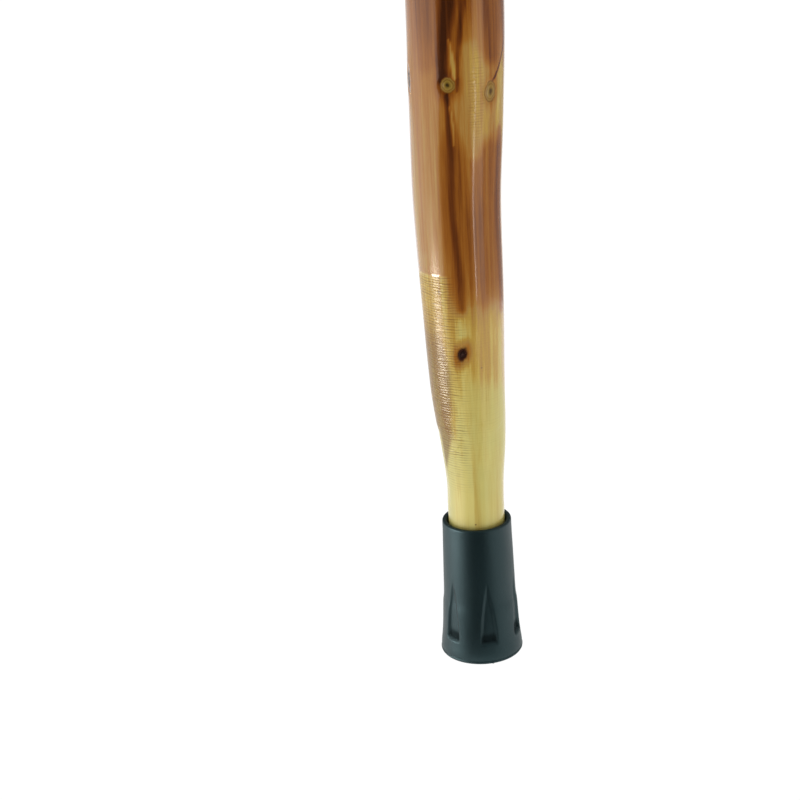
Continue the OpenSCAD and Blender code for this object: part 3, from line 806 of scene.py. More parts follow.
def make_ferrule():
    heights = np.r_[2.0:9.2:9j, 9.4:10.2:9j, np.arange(10.5, 40, 0.5), np.arange(41, 56.4, 1.0)]
    rows = [(z, r, 0) for z, r in FERRULE_OUTSIDE]
    outside = [(float(curve_through(rows, 1, z)), float(z)) for z in heights]
    bore = TIP_D / 2 + SNUG
    foot = [(0.01, 0.0), (6.9, 0.0), (7.1, 1.5), (8.5, 1.5), (8.7, 0.0), (10.9, 0.0), (11.1, 1.5),
            (12.5, 1.5), (12.7, 0.0), (15.5, 0.0), (16.2, 0.15), (16.45, 0.5), (16.5, 0.9),
            (16.35, 1.15), (16.22, 1.35), (16.3, 1.6)]
    top = FERRULE_H
    rim = [(13.62, top - 0.5), (13.5, top - 0.2), (13.3, top), (12.4, top), (12.0, top - 0.1),
           (11.8, top - 0.5), (bore + 0.3, top - 1.2), (bore, top - 2), (bore, 8.05), (0.01, 8.0)]

    def swell(angle, radius, z):
        if LEDGE_Z - 0.3 < z < 40 and radius[0] > 13:
            radius = radius - flute_depth(angle, z)
        if z < 1.0 and radius[0] > 16:  # moulding flash
            radius = radius + 0.35 * smooth(1.6, 0.4, np.abs(away(angle, 12)))
        return radius

    ferrule = lathe("ferrule", foot + outside + rim, 360, swell)
    co, z = points_of(ferrule)
    angle = np.degrees(np.arctan2(co[:, 0], -co[:, 1]))
    # painted shade with some dirt: the flutes are darker at the bottom of their recess, just above the ledge
    sunk = flute_depth(angle, np.maximum(z, LEDGE_Z + 0.4)) * smooth(LEDGE_Z + 5, LEDGE_Z + 0.5, z)
    paint(ferrule, "ledge_shade_and_dirt", np.clip(sunk * smooth(LEDGE_Z - 0.6, LEDGE_Z, z) * 1.2, 0, 1))
    s = Shader("moulded_rubber")
    pebble = s.noise(s.scaled(900, 900, 900), detail=3)
    smear = s.noise(s.scaled(60, 60, 24), detail=4)
    colour = s.ramp(smear, [(0.3, srgb(7, 25, 28)), (0.7, srgb(14, 34, 37))])
    ledge_shade_and_dirt = s.attribute("ledge_shade_and_dirt")
    # painted shade and dirt at the foot of the flutes
    colour = s.mix(s.calc("MULTIPLY", ledge_shade_and_dirt, 0.85), colour, srgb(4, 8, 9))
    rough = s.calc("MULTIPLY_ADD", ledge_shade_and_dirt, 0.5, s.ramp(smear, [(0.3, 0.45), (0.7, 0.55)]), clamp=True)
    dress(ferrule, s.finish(Base_Color=colour, Roughness=rough, Specular_Tint=(0.62, 0.95, 1.0),
                            Normal=s.bump(pebble, 0.02)))
    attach(ferrule, "leg")
    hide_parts("rubber_ferrule")


# ---------------------------------------------------------------- metals
def zinc_steel():
    s = Shader("zinc_plated_steel")
    spangle = s.noise(s.scaled(260, 260, 260), detail=3)
    scratches = s.noise(s.scaled(2600, 180, 180), detail=4, rough=0.7)
    colour = s.ramp(spangle, [(0.3, (0.44, 0.45, 0.46)), (0.7, (0.60, 0.61, 0.62))])
    colour = s.mix(s.ramp(scratches, [(0.55, 0.0), (0.75, 0.5)]), colour, (0.30, 0.29, 0.28))
    rough = s.calc("MULTIPLY_ADD", scratches, 0.18, s.ramp(spangle, [(0.3, 0.20), (0.7, 0.32)]))
    return s.finish(Base_Color=colour, Metallic=1.0, Roughness=rough, Normal=s.bump(scratches, 0.012))


def aged_brass():
    s = Shader("aged_brass")
    patina = s.noise(s.scaled(320, 320, 320), detail=5, rough=0.65)
    dents = s.noise(s.scaled(600, 600, 600), detail=2)
    colour = s.ramp(patina, [(0.35, (0.66, 0.44, 0.14)), (0.55, (0.55, 0.34, 0.10)),
                             (0.75, (0.20, 0.12, 0.05))])
    return s.finish(Base_Color=colour, Metallic=1.0, Roughness=s.ramp(patina, [(0.4, 0.22), (0.75, 0.5)]),
                    Normal=s.bump(dents, 0.05))


# ---------------------------------------------------------------- sawn and bent wood
def sawn_wood(name, lengthwise_x=False):
    """Varnished straight-grained wood; its grain runs along the painted grain attribute or along X."""
    s = Shader(name)
    if lengthwise_x:
        spot = s.make("ShaderNodeTexCoord", out=3)
        x, y, z = (s.make("ShaderNodeSeparateXYZ", out=i, i0=spot) for i in range(3))
        where = s.make("ShaderNodeCombineXYZ", i0=z, i1=y, i2=x)
    else:
        where = s.make("ShaderNodeAttribute", out=1, settings={"attribute_name": "grain"})
    # growth rings about a heart outside the stick, wandering slowly along it
    drift = s.noise(s.scaled(28, 28, 5, where), detail=2)
    flat = s.vector("MULTIPLY", s.vector("ADD", where, (0.021, 0.034, 0)), (1, 1, 0))
    heart = s.vector("LENGTH", flat, out=1)
    ring = s.calc("FRACT", s.calc("MULTIPLY_ADD", drift, 5.5, s.calc("MULTIPLY", heart, 420)))
    late = s.ramp(ring, [(0.0, 1.0), (0.10, 0.35), (0.55, 0.0), (0.92, 0.75), (1.0, 1.0)], smooth_step=False)
    fibre = s.noise(s.scaled(900, 900, 22, where), detail=4, rough=0.65)
    pores = s.ramp(s.noise(s.scaled(1500, 1500, 60, where), detail=2), [(0.62, 0.0), (0.70, 1.0)])
    tone = s.noise(s.scaled(25, 25, 3, where), detail=3)
    shade = s.calc("MULTIPLY_ADD", late, 0.46, s.calc("MULTIPLY", fibre, 0.42))
    colour = s.ramp(shade, [(0.12, srgb(214, 166, 98)), (0.40, srgb(190, 134, 66)),
                            (0.70, srgb(150, 94, 40)), (0.95, srgb(116, 66, 26))], smooth_step=False)
    colour = s.mix(s.ramp(tone, [(0.35, 0.0), (0.7, 0.45)]), colour, srgb(158, 92, 38))
    colour = s.mix(s.calc("MULTIPLY", pores, 0.55), colour, srgb(84, 46, 18))
    # darker and rougher round the bolt holes, at the bows' ends and just under the cover's edge
    joint_darkening = s.attribute("rim")
    colour = s.mix(s.calc("MULTIPLY", joint_darkening, 0.75), colour, srgb(58, 32, 14))
    relief = s.bump(s.calc("SUBTRACT", fibre, s.calc("MULTIPLY", pores, 0.8)), 0.035)
    rough = s.calc("MULTIPLY_ADD", joint_darkening, 0.25, s.ramp(fibre, [(0.3, 0.20), (0.7, 0.30)]))
    return s.finish(Base_Color=colour, Roughness=rough, Normal=relief, IOR=1.5,
                    Coat_Weight=0.3, Coat_Roughness=0.07, Coat_IOR=1.45)


def paint_grain(obj, across, through, along):
    """Store a grain direction in metres: growth rings lie across it, fibres run along it."""
    layer = obj.data.attributes.new("grain", "FLOAT_VECTOR", "POINT")
    layer.data.foreach_set("vector", (np.c_[across, through, along] * MM).astype(np.float32).ravel())


def bend(z, start, end):
    """Centre line and lean, in radians, of two equal arcs between two (x, z) places."""
    (x0, z0), (x1, z1) = start, end
    radius = (z1 - z0) / (2 * math.sin(2 * math.atan((x1 - x0) / (z1 - z0))))
    up = np.clip(z - z0, 0, None)
    left = np.clip(z1 - z, 0, None)
    low = x0 + radius - np.sqrt(np.clip(radius**2 - up**2, 0, None))
    high = x1 - radius + np.sqrt(np.clip(radius**2 - left**2, 0, None))
    x = np.where(z < (z0 + z1) / 2, low, high)
    return x, np.arcsin(np.minimum(up, left) / radius)


def bow_line(z):
    """Centre line of the right-hand bow and its lean, at heights z."""
    z = np.asarray(z, float)
    lower = bend(z, (BOW_IN_X, BOW_BEND[0]), (BOW_OUT_X, BOW_BEND[1]))
    upper = bend(z, (BOW_OUT_X, BOW_FLARE[0]), (BOW_TOP_X, BOW_FLARE[1]))
    low = z < BOW_FLARE[0]
    return np.where(low, lower[0], upper[0]), np.where(low, lower[1], upper[1])


def rounded_rect(w, h, r, per_side=9, per_corner=5):
    """Points around a rectangle with round corners."""
    points = []
    for quarter in range(4):
        sx = 1 if quarter in (0, 3) else -1
        sy = 1 if quarter < 2 else -1
        turn = math.radians(90 * quarter)
        for a in np.linspace(0, math.pi / 2, per_corner + 1):
            points.append((sx * (w / 2 - r) + r * math.cos(turn + a),
                           sy * (h / 2 - r) + r * math.sin(turn + a)))
        start = points[-1]
        stop = {0: (-(w / 2 - r), h / 2), 1: (-w / 2, -(h / 2 - r)), 2: (w / 2 - r, -h / 2),
                3: (w / 2, h / 2 - r)}[quarter]
        points += [tuple(p) for p in np.linspace(start, stop, per_side + 1)[1:-1]]
    return np.array(points)


def make_bow(name, side):
    section = rounded_rect(BOW_T, BOW_W, BOW_CORNER)
    step = 2
    rounding = [(BOW_FOOT_Z + FOOT_ROUND * (1 - math.cos(a)), 0.72 + 0.28 * math.sin(a))
                for a in np.radians(np.arange(0, 90, 7.5))]
    above = np.arange(BOW_FOOT_Z + FOOT_ROUND, BOW_TOP_Z - 0.1, step)
    rings = rounding + [(z, 1.0) for z in above] + [(BOW_TOP_Z, 1.0)]
    shape = []
    for z, size in rings:
        x, lean = bow_line(z)
        u = section[:, 0] * size
        shape.append(np.c_[side * (x + u * np.cos(lean)), section[:, 1] * size, z - u * np.sin(lean)])
    bow = skin(name, shape if side > 0 else [r[::-1] for r in shape])
    holes = [LOWER_BOLT_Z, UPPER_BOLT_Z] + [GRIP_Z + i * PITCH for i in range(-3, 4)]
    drill(bow, [cylinder_x(HOLE_D / 2, -100, 100, z) for z in holes])

    co, z = points_of(bow)
    centre, lean = bow_line(z)
    u = (side * co[:, 0] - centre) * np.cos(lean)
    paint_grain(bow, side * u + 40 * side, co[:, 1], z)
    # darker round the holes, at the bow's foot and where it goes into the crosspiece
    away_from_hole = np.min([np.hypot(co[:, 1], z - hole) for hole in holes], axis=0)
    patchiness = wander(co, (0.12, 0.12, 0.05), 21 + side)
    rim = 0.8 * smooth(5.2, 3.4, away_from_hole)
    rim = rim + 0.30 * smooth(11, 7, away_from_hole) * smooth(-0.2, 0.5, patchiness)
    rim = rim + 0.25 * smooth(12, 0, z - BOW_FOOT_Z)
    rim = rim + 0.35 * smooth(10, 0, BEAM_FOOT_Z - z) * smooth(-0.3, 0.4, patchiness)
    paint(bow, "rim", np.clip(rim, 0, 1))
    return bow


def make_bows():
    wood = sawn_wood("steam_bent_wood")
    for name, side in (("left_bow", -1), ("right_bow", 1)):
        bow = dress(make_bow(name + "_bent", side), wood)
        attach(bow, "frame")
        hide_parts(name)
    return wood


# ---------------------------------------------------------------- armrest
def saddle_drop(x, dip):
    """How far a hollow top of that dip lies below its ends, at x."""
    return dip * (1 - np.clip(np.abs(x) / (BEAM_L / 2), 0, 1) ** 2)


def make_beam(wood):
    section = rounded_rect(BEAM_W, BEAM_END_Z - BEAM_FOOT_Z, 2.5, 6, 4)
    ends = BEAM_L / 2 - BEAM_ROUND * (1 - np.sin(np.radians(np.arange(0, 91, 10))))
    rings = []
    for x in np.r_[-ends[::-1], np.arange(-ends[0] + 2, ends[0] - 1, 2), ends]:
        over = max(0, abs(x) - ends[0]) / BEAM_ROUND
        inset = 1 - math.sqrt(max(1 - over**2, 0))
        y = np.sign(section[:, 0]) * np.maximum(np.abs(section[:, 0]) - BEAM_ROUND * inset, 0)
        z = np.sign(section[:, 1]) * np.maximum(np.abs(section[:, 1]) - 1.5 * inset, 0)
        z = z + (BEAM_END_Z + BEAM_FOOT_Z) / 2
        share = np.clip((z - BEAM_FOOT_Z) / (BEAM_END_Z - BEAM_FOOT_Z), 0, 1)
        rings.append(np.c_[np.full(len(y), x), y, z - saddle_drop(x, BEAM_DIP) * smooth(0.55, 1, share)])
    beam = skin("armrest_crosspiece", rings)
    cutters = []
    for side in (-1, 1):
        outline = rounded_rect(BOW_T + 2 * SNUG, BOW_W + 2 * SNUG, BOW_CORNER + SNUG, 1, 4)
        cutters.append(skin("mortise", [
            np.c_[outline[:, 0] + side * BOW_TOP_X, outline[:, 1], np.full(len(outline), z)]
            for z in (BEAM_FOOT_Z - 1, BEAM_FOOT_Z + MORTISE_H)]))
    drill(beam, cutters)
    turn = np.linspace(0, -2 * math.pi, 48, endpoint=False)
    countersink = ((-BEAM_W / 2 - 0.2, 4.3), (-BEAM_W / 2 + 2.5, 2.1))
    seats = [skin("seat", [
        [(side * BOW_TOP_X + r * math.cos(a), y, SCREW_Z + r * math.sin(a)) for a in turn]
        for y, r in countersink]) for side in (-1, 1)]
    drill(beam, seats)
    co, z = points_of(beam)
    paint_grain(beam, z - 1200, co[:, 1], co[:, 0])
    # darker round the screw seats and just under the cover's edge
    near = np.min([np.hypot(co[:, 0] - side * BOW_TOP_X, z - SCREW_Z) for side in (-1, 1)], axis=0)
    rim = 0.6 * smooth(6.5, 4.0, near) * smooth(0.5 - BEAM_W / 2, 0.1 - BEAM_W / 2, co[:, 1])
    rim = rim + 0.45 * smooth(COVER_FOOT_Z - 4, COVER_FOOT_Z, z)
    paint(beam, "rim", np.clip(rim, 0, 1))
    dress(beam, wood)
    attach(beam, "frame")
    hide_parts("armrest_beam")


def tack_places():
    """Place and outward direction of each brass tack around the armrest."""
    places = [((i - 4) * TACK_PITCH, side * COVER_W / 2, 0, side) for i in range(9) for side in (-1, 1)]
    return places + [(side * COVER_L / 2, 0, side, 0) for side in (-1, 1)]


def cushion_blank():
    """The stuffed cover before it is pumped up: round-cornered in plan, its top edges rounded."""
    walls = ((0.2, 0.6), (1.5, 0.2), (4, 0.4), (8, 0.7), (14, 0.6), (22, 0.8))
    levels = [(COVER_FOOT_Z + up, inset) for up, inset in walls]
    top = TOTAL_H - 0.4
    levels += [(top - 10 + 10 * math.sin(a), 1.0 + 10 * (1 - math.cos(a)))
               for a in np.radians(np.arange(0, 91, 15))]
    rings = []
    for z, inset in levels:
        outline = rounded_rect(COVER_L - 2 * inset, COVER_W - 2 * inset, 5.5 + inset * 0.4, 40, 5)
        rings.append(np.c_[outline, np.full(len(outline), z)])
    return skin("armrest_cushion", rings)


def voxel(obj, size_mm):
    mod = obj.modifiers.new("remesh", "REMESH")
    mod.mode = "VOXEL"
    mod.voxel_size = size_mm * MM
    mod.use_smooth_shade = True
    return apply_modifiers(obj)


CLOTH_FRAMES = 20


def pump_up(obj, pinned, limit):
    """Cloth simulation under inner pressure; points in pinned stay, and none moves past limit mm."""
    before = np.array([v.co for v in obj.data.vertices])
    group = obj.vertex_groups.new(name="tacked")
    for i, weight in enumerate(pinned):
        group.add([i], float(weight), "REPLACE")
    cloth = obj.modifiers.new("cloth", "CLOTH")
    cloth.settings.quality = 6
    cloth.settings.mass = 0.25
    cloth.settings.tension_stiffness = 18
    cloth.settings.compression_stiffness = 18
    cloth.settings.bending_stiffness = 0.8
    cloth.settings.use_pressure = True
    cloth.settings.uniform_pressure_force = 4
    cloth.settings.vertex_group_mass = "tacked"
    cloth.settings.effector_weights.gravity = 0
    scene = bpy.context.scene
    for frame_number in range(1, CLOTH_FRAMES + 1):
        scene.frame_set(frame_number)
    apply_modifiers(obj)
    scene.frame_set(1)
    after = np.array([v.co for v in obj.data.vertices])
    move = after - before
    far = np.linalg.norm(move, axis=1, keepdims=True)
    capped = np.minimum(far, limit * MM) / np.maximum(far, 1e-9)
    obj.data.vertices.foreach_set("co", (before + move * capped).astype(np.float32).ravel())
    obj.vertex_groups.clear()
    return obj


def make_cushion():
    cushion = voxel(cushion_blank(), 4)
    co, z = points_of(cushion)
    share = smooth(COVER_FOOT_Z + 16, TOTAL_H - 6, z)
    co[:, 2] = z - saddle_drop(co[:, 0], PAD_DIP + 1.5) * share
    cushion.data.vertices.foreach_set("co", (co * MM).astype(np.float32).ravel())
    pump_up(cushion, smooth(COVER_FOOT_Z + 9, COVER_FOOT_Z + 5, co[:, 2]), 3.2)
    rounder = cushion.modifiers.new("round", "SUBSURF")
    rounder.levels = 2
    apply_modifiers(cushion)

    # the leather between tacks puffs out, and is drawn in and creased at each tack
    co, z = points_of(cushion)
    normal = np.array([v.normal for v in cushion.data.vertices])
    wall = smooth(0.35, 0.8, np.abs(normal[:, 1])) + smooth(0.35, 0.8, np.abs(normal[:, 0]))
    push = np.zeros(len(co))
    crease_shade = np.zeros(len(co))
    for x, y, nx, ny in tack_places():
        sideways = (co[:, 0] - x) * abs(ny) + (co[:, 1] - y) * abs(nx)
        near = smooth(12, 4, np.abs(co[:, 1] - y) * abs(ny) + np.abs(co[:, 0] - x) * abs(nx))
        up = z - TACK_Z
        far = np.hypot(sideways, up)
        spread = 1.2 + 0.16 * np.clip(up, 0, 30)
        ray = np.exp(-((sideways / spread) ** 2)) * smooth(22, 3, up) * smooth(-4, 0, up)
        push -= near * (0.9 * np.exp(-((far / 4.2) ** 2)) + 0.75 * ray)
        crease_shade += near * (0.8 * ray + np.exp(-((far / 4.5) ** 2)))
    # folds gathered at the four corners
    past_x = np.maximum(np.abs(co[:, 0]) - (COVER_L / 2 - 9), 0)
    past_y = np.maximum(np.abs(co[:, 1]) - (COVER_W / 2 - 9), 0)
    corner = np.hypot(past_x, past_y)
    turn = np.degrees(np.arctan2(past_y, past_x))
    at_corner = smooth(4, 8, corner) * smooth(TOTAL_H - 4, TOTAL_H - 16, z)
    fold = np.exp(-(((turn - 36) / 7) ** 2)) + np.exp(-(((turn - 60) / 6) ** 2))
    fold = fold * (0.3 + 0.7 * smooth(BEAM_END_Z - 1, BEAM_END_Z + 6, z))
    push += at_corner * (0.35 - 0.9 * fold) * smooth(3, 12, turn) * smooth(87, 78, turn)
    crease_shade += 0.8 * at_corner * fold
    wrinkle = wander(co, (0.035, 0.12, 0.08), 31) + 0.5 * wander(co, (0.09, 0.25, 0.2), 32)
    push += 0.30 * wrinkle * smooth(COVER_FOOT_Z + 6, COVER_FOOT_Z + 16, z)
    hem = smooth(COVER_FOOT_Z + 2.6, COVER_FOOT_Z + 1.8, z) * np.clip(wall, 0, 1)
    push += 0.35 * hem
    moved = co + normal * push[:, None]
    moved[:, 2] = np.maximum(moved[:, 2], COVER_FOOT_Z)
    cushion.data.vertices.foreach_set("co", (moved * MM).astype(np.float32).ravel())
    cushion.data.update()
    level = np.abs(normal[:, 2])
    edge = smooth(0.25, 0.6, level) * smooth(0.97, 0.75, level) * smooth(TOTAL_H - 25, TOTAL_H - 14, z)
    seat = smooth(0.6, 0.95, normal[:, 2]) * smooth(70, 20, np.abs(co[:, 0]))
    # painted shade: the leather is darker in the creases, round each tack and in the corner folds
    paint(cushion, "crease_shade", np.clip(crease_shade, 0, 1))
    paint(cushion, "wear", np.clip(0.8 * edge + 0.6 * seat, 0, 1))

    # hollow below, where the crosspiece fills it
    outline = rounded_rect(BEAM_L + 0.4, BEAM_W + 0.4, BEAM_ROUND + 0.6, 44, 6)
    rings = [np.c_[outline, np.full(len(outline), COVER_FOOT_Z - 3)],
             np.c_[outline, BEAM_END_Z + 0.3 - saddle_drop(outline[:, 0], BEAM_DIP)]]
    drill(cushion, [skin("hollow", rings)])
    dress(cushion, saddle_leather())
    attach(cushion, "frame")
    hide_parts("armrest_cover", "armrest_foam")


def saddle_leather():
    s = Shader("saddle_leather")
    where = s.make("ShaderNodeTexCoord", out=3)
    crooked = s.vector("SCALE", s.noise(s.scaled(300, 300, 300, where), out=1), scale=0.0012)
    cells = s.make("ShaderNodeTexVoronoi", settings={"feature": "DISTANCE_TO_EDGE"},
                   Vector=s.vector("ADD", where, crooked), Scale=620.0)
    pebbles = s.ramp(cells, [(0.0, 0.0), (0.16, 1.0)])
    cloud = s.noise(s.scaled(38, 38, 38, where), detail=4, rough=0.6)
    pits = s.noise(s.scaled(2200, 2200, 2200, where), detail=2)
    colour = s.ramp(cloud, [(0.30, srgb(78, 42, 22)), (0.55, srgb(104, 58, 30)), (0.75, srgb(122, 70, 36))])
    colour = s.mix(s.calc("MULTIPLY", s.attribute("wear"), s.ramp(cloud, [(0.35, 0.2), (0.65, 0.8)])),
                   colour, srgb(150, 96, 54))
    # painted shade in the creases
    colour = s.mix(s.calc("MULTIPLY", s.attribute("crease_shade"), 0.6), colour, srgb(40, 20, 10))
    colour = s.mix(s.ramp(cells, [(0.0, 0.55), (0.12, 0.0)]), colour, srgb(48, 25, 12))
    relief = s.bump(pebbles, 0.10, s.bump(pits, 0.02))
    rough = s.calc("MULTIPLY_ADD", s.attribute("wear"), -0.14, s.ramp(cloud, [(0.3, 0.46), (0.7, 0.56)]))
    return s.finish(Base_Color=colour, Roughness=rough, Normal=relief, Sheen_Weight=0.05)


def around_cover(outward, spacing):
    """Places around the cover at that distance outside it, with their outward directions."""
    outline = rounded_rect(COVER_L + 2 * outward, COVER_W + 2 * outward, 5.5 + outward, 60, 8)
    closed = np.vstack([outline, outline[:1]])
    length = np.r_[0, np.cumsum(np.hypot(*np.diff(closed, axis=0).T))]
    count = int(length[-1] / spacing)
    s = np.arange(count) * length[-1] / count
    x, y = np.interp(s, length, closed[:, 0]), np.interp(s, length, closed[:, 1])
    ahead = np.roll(np.c_[x, y], -1, axis=0) - np.roll(np.c_[x, y], 1, axis=0)
    ahead /= np.linalg.norm(ahead, axis=1, keepdims=True)
    return np.c_[x, y], np.c_[ahead[:, 1], -ahead[:, 0]], ahead


def make_band():
    """Flat leather band over the cover's edge, with a line of stitches along each of its edges."""
    places, out, _ = around_cover(0.25, 2.0)
    half, thick = 4.2, 0.9
    profile = [(-0.5, -half), (thick * 0.7, -half), (thick, -half + 0.4), (thick, -2.9), (thick * 0.75, -2.6),
               (thick, -2.3), (thick * 1.1, 0), (thick, 2.3), (thick * 0.75, 2.6), (thick, 2.9),
               (thick, half - 0.4), (thick * 0.7, half), (-0.5, half)]
    rings = []
    for p, n in zip(places, out):
        rings.append([(p[0] + n[0] * d, p[1] + n[1] * d, TACK_Z + h) for d, h in profile])
    band = skin("armrest_band", rings, closed=True)
    co, z = points_of(band)
    # painted shade along the band's top and bottom edges, where it meets the cover
    paint(band, "crease_shade", 0.7 * smooth(3.0, 4.2, np.abs(z - TACK_Z)))
    paint(band, "wear", np.zeros(len(co)))
    dress(band, bpy.data.materials["saddle_leather"])
    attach(band, "frame")

    stitches = []
    places, out, ahead = around_cover(1.0, 3.4)
    for height in (-2.6, 2.6):
        for p, n, t in zip(places, out, ahead):
            rings = []
            for u in np.linspace(-1.35, 1.35, 7):
                lift = 0.22 * (1 - (u / 1.35) ** 2) - 0.10
                r = 0.30 * math.sqrt(max(1 - (u / 1.5) ** 4, 0.05))
                rings.append([(p[0] + t[0] * u + n[0] * (lift + r * math.cos(a)),
                               p[1] + t[1] * u + n[1] * (lift + r * math.cos(a)),
                               TACK_Z + height + 0.12 * u + r * math.sin(a))
                              for a in np.radians(range(0, 360, 60))])
            stitches.append(skin("stitch", rings))
    stitching = join("armrest_stitching", stitches)
    s = Shader("waxed_thread")
    twist = s.make("ShaderNodeTexWave", out=1, Vector=s.scaled(900, 900, 900), Scale=1.0, Distortion=1.5)
    thread = s.ramp(twist, [(0.2, srgb(150, 116, 70)), (0.8, srgb(198, 164, 110))])
    dress(stitching, s.finish(Base_Color=thread, Roughness=0.6, Normal=s.bump(twist, 0.05)))
    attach(stitching, "frame")


def make_tacks(brass):
    profile = [(0.01, -6.5), (0.3, -6.0), (0.6, -5.2), (0.6, 0.9), (3.3, 0.9), (3.6, 1.0), (3.62, 1.2),
               (3.35, 1.45), (2.9, 1.75), (2.2, 2.0), (1.2, 2.15), (0.01, 2.2)]
    rng = np.random.default_rng(7)
    tacks = []
    for x, y, nx, ny in tack_places():
        tack = lathe("tack", profile, 28)
        tilt = Matrix.Rotation(math.radians(rng.uniform(-4, 4)), 4, "X")
        tilt = tilt @ Matrix.Rotation(math.radians(rng.uniform(-4, 4)), 4, "Y")
        facing = Vector((nx, ny, 0)).to_track_quat("Z", "Y").to_matrix().to_4x4()
        place(tack, x + 0.2 * nx, y + 0.2 * ny, TACK_Z + rng.uniform(-0.25, 0.25), facing @ tilt)
        tacks.append(tack)
    tacks = dress(join("armrest_brass_tacks", tacks), brass)
    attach(tacks, "frame")
    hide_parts("armrest_tacks")


def slot_cutter(length, width, depth, turn):
    """A bar across Z = 0, from -1 to depth."""
    bar = skin("bar", [[(-length / 2, -width / 2, z), (length / 2, -width / 2, z), (length / 2, width / 2, z),
                        (-length / 2, width / 2, z)] for z in (-1.0, depth)])
    return place(bar, turn=Matrix.Rotation(math.radians(turn), 4, "Z"))


def make_screws(brass):
    profile = [(0.01, 0.0), (3.6, 0.0), (3.95, 0.2), (3.9, 0.5), (2.1, 2.4), (1.9, 2.8),
               (1.9, 26.0), (0.01, 28.0)]
    facing = Matrix.Rotation(math.radians(-90), 4, "X")
    screws = []
    for side, turn in ((-1, 20), (1, -65)):
        screw = lathe("screw", profile, 48)
        drill(screw, [slot_cutter(9, 1.0, 1.0, turn)])
        screws.append(place(screw, side * BOW_TOP_X, -BEAM_W / 2, SCREW_Z, facing))
    screws = dress(join("armrest_brass_screws", screws), brass)
    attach(screws, "frame")
    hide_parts("armrest_screws")


# ---------------------------------------------------------------- bolts, washers, wing nuts
THREAD_PITCH = 1.0


def make_bolt(node, body, face_x, z, steel):
    head_x = -face_x - GAP
    end_x = face_x + GAP + WASHER_T + GAP + NUT_H + 13
    thread_x = face_x - 8
    dome_r = (HEAD_R**2 + HEAD_H**2) / (2 * HEAD_H)
    dome = [(max(dome_r * math.sin(a), 0.01), head_x - HEAD_H + dome_r * (1 - math.cos(a)))
            for a in np.linspace(0, math.asin(6.85 / dome_r), 14)]
    shank = BOLT_D / 2
    profile = dome + [(HEAD_R, head_x - 0.35), (6.9, head_x), (shank, head_x), (shank, thread_x)]
    profile += [(shank, x) for x in np.arange(thread_x + 0.2, end_x - 1.0, 0.2)]
    profile += [(2.6, end_x - 0.7), (2.1, end_x), (0.01, end_x)]

    def thread(angle, radius, x):
        if thread_x < x < end_x - 0.8:
            phase = (x / THREAD_PITCH - angle / 360) % 1
            radius = radius - 0.34 * smooth(0.02, 0.45, np.abs(phase - 0.5)) * smooth(0, 1.5, x - thread_x)
        return radius

    bolt = lathe(node + "_threaded", profile, 40, thread)
    drill(bolt, [place(slot_cutter(15, 1.4, 1.5, 90), z=head_x - HEAD_H)])
    place(bolt, z=z, turn=ALONG_X)
    dress(bolt, steel)
    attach(bolt, body)
    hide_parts(node)


def disc(name, bore, rim, thick, edge=0.25):
    """A flat ring about Z from 0 to thick, its edges broken."""
    return lathe(name, [
        (bore + edge, 0), (rim - edge, 0), (rim - edge * 0.3, edge * 0.3), (rim, edge), (rim, thick - edge),
        (rim - edge * 0.3, thick - edge * 0.3), (rim - edge, thick), (bore + edge, thick),
        (bore, thick - edge), (bore, edge)], 96)


def make_washer(node, body, face_x, z, steel):
    washer = place(disc(node + "_turned", HOLE_D / 2, WASHER_R, WASHER_T), face_x + GAP, 0, z, ALONG_X)
    dress(washer, steel)
    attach(washer, body)
    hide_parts(node)


def cast_wing_nut():
    """A wing nut along +X from 0, its wings along Z, with soft cast edges."""
    hub = place(lathe("hub", [(0.01, 0), (5.7, 0), (5.95, 0.3), (5.9, 1.2), (5.1, 6.8), (4.6, 7.8),
                              (4.2, NUT_H), (0.01, NUT_H)], 48), turn=ALONG_X)
    parts = [hub]
    upright = Matrix.Rotation(math.pi / 2, 4, "X")
    for side in (-1, 1):
        ear = lathe("ear", [(0.01, -0.95), (4.3, -0.95), (5.2, -1.3), (6.1, -1.1), (6.45, -0.4), (6.45, 0.4),
                            (6.1, 1.1), (5.2, 1.3), (4.3, 0.95), (0.01, 0.95)], 48)
        parts.append(place(ear, 7, 0, side * 12, upright))
        web = [(1.2, 3.5), (7.0, 3.5), (10.2, 8.5), (4.0, 12.5), (2.0, 9.2)]
        web = web if side < 0 else web[::-1]
        parts.append(skin("web", [[(x, y, side * z) for x, z in web] for y in (-1.15, 1.15)]))
    nut = voxel(join("wing_nut", parts), 0.32)
    soften = nut.modifiers.new("soften", "SMOOTH")
    soften.factor = 0.5
    soften.iterations = 4
    apply_modifiers(nut)
    return drill(nut, [cylinder_x(BOLT_D / 2 + 0.06, -2, 12, 0, 64)])


def make_nut(node, body, face_x, z, blank, steel):
    nut = bpy.data.objects.new(node + "_cast", blank.data.copy())
    bpy.context.scene.collection.objects.link(nut)
    place(nut, face_x + GAP + WASHER_T + GAP, 0, z)
    dress(nut, steel)
    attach(nut, body)
    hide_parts(node)


def make_fasteners(steel):
    blank = cast_wing_nut()
    for place_name, bolt_node, bolt_body, face_x, z in (
        ("lower", "lower_leg_bolt", "frame", CLAMP_FACE_X, LOWER_BOLT_Z),
        ("upper", "upper_leg_bolt", "frame", CLAMP_FACE_X, UPPER_BOLT_Z),
        ("grip", "grip_bolt", "grip", GRIP_FACE_X, GRIP_Z),
    ):
        washer_node = "grip_washer" if place_name == "grip" else place_name + "_leg_washer"
        make_bolt(bolt_node, bolt_body, face_x, z, steel)
        make_washer(washer_node, place_name + "_washer", face_x, z, steel)
        make_nut(place_name + "_wing_nut", place_name + "_nut", face_x, z, blank, steel)
    bpy.data.objects.remove(blank)


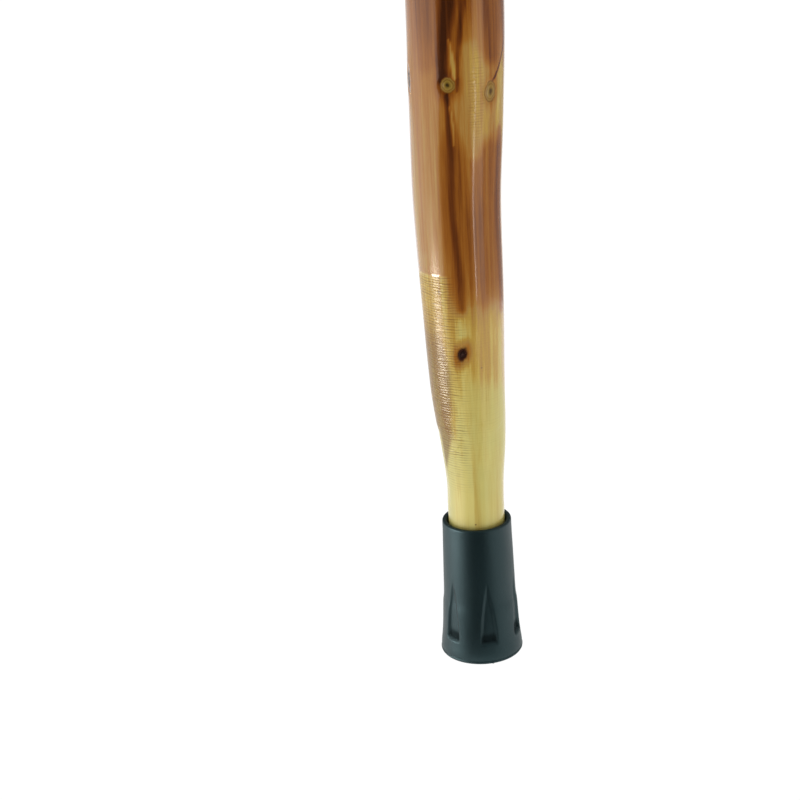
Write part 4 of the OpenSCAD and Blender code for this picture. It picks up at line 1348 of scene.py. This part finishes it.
# ---------------------------------------------------------------- hand grip
def make_grip(steel):
    ends = SLEEVE_END_X
    outer, bore = 18.0, 12.1
    rows = [(-ends + 5, 17.9, 0), (-ends + 8.2, 15.3, 0), (-30, 16.6, 0), (-14, 17.5, 0),
            (14, 17.5, 0), (30, 16.6, 0), (ends - 8.2, 15.3, 0), (ends - 5, 17.9, 0)]
    middle = [(float(curve_through(rows, 1, x)), float(x)) for x in np.arange(-ends + 5, ends - 4.9, 1.0)]
    profile = [(bore, -ends), (17.3, -ends), (17.8, -ends + 0.25), (outer, -ends + 0.8), (outer, -ends + 4.4)]
    profile += middle
    profile += [(outer, ends - 4.4), (outer, ends - 0.8), (17.8, ends - 0.25), (17.3, ends), (bore, ends)]
    profile += [(bore, x) for x in np.arange(ends - 5, -ends + 4, -10)]

    def ribs(angle, radius, x):
        if radius[0] > 13 and abs(x) < ends - 5:
            fade = smooth(ends - 6, ends - 10, abs(x))
            groove = smooth(0.25, 0.8, np.abs(((angle * 32 / 360) % 1) - 0.5) * 2)
            radius = radius - 0.75 * fade * groove
            radius = radius + 0.30 * smooth(1.0, 0.3, np.abs(away(angle, 90)))
            radius = radius + 0.30 * smooth(1.0, 0.3, np.abs(away(angle, -90)))
        return radius

    sleeve = place(lathe("grip_ribbed_sleeve", profile, 384, ribs), z=GRIP_Z, turn=ALONG_X)
    s = Shader("grip_rubber")
    dust = s.noise(s.scaled(70, 70, 70), detail=5, rough=0.65)
    skin_grain = s.noise(s.scaled(1500, 1500, 1500), detail=2)
    colour = s.ramp(dust, [(0.35, srgb(30, 31, 32)), (0.62, srgb(44, 45, 46)), (0.8, srgb(70, 68, 64))])
    dress(sleeve, s.finish(Base_Color=colour, Roughness=s.ramp(dust, [(0.3, 0.50), (0.7, 0.68)]),
                           Normal=s.bump(skin_grain, 0.04)))
    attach(sleeve, "grip")
    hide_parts("grip_sleeve")

    collar = HAND_GAP / 2 - GAP
    washers = [place(disc("end_washer", HOLE_D / 2, END_WASHER_R, WASHER_T), start, 0, GRIP_Z, ALONG_X)
               for start in (-collar, collar - WASHER_T)]
    washers = dress(join("grip_steel_ends", washers), steel)
    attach(washers, "grip")
    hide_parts("grip_end_washers")


def finish_cad_nodes(steel):
    """Nodes whose CAD shape is right keep it, and take the same finishes."""
    core_wood = sawn_wood("grip_core_wood", lengthwise_x=True)
    for node, material in (("grip_core", core_wood), ("ferrule_disc", steel)):
        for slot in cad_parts[node].material_slots:
            slot.material = material


make_leg()
make_ferrule()
steel = zinc_steel()
brass = aged_brass()
make_beam(make_bows())
make_cushion()
make_band()
make_tacks(brass)
make_screws(brass)
make_fasteners(steel)
make_grip(steel)
finish_cad_nodes(steel)
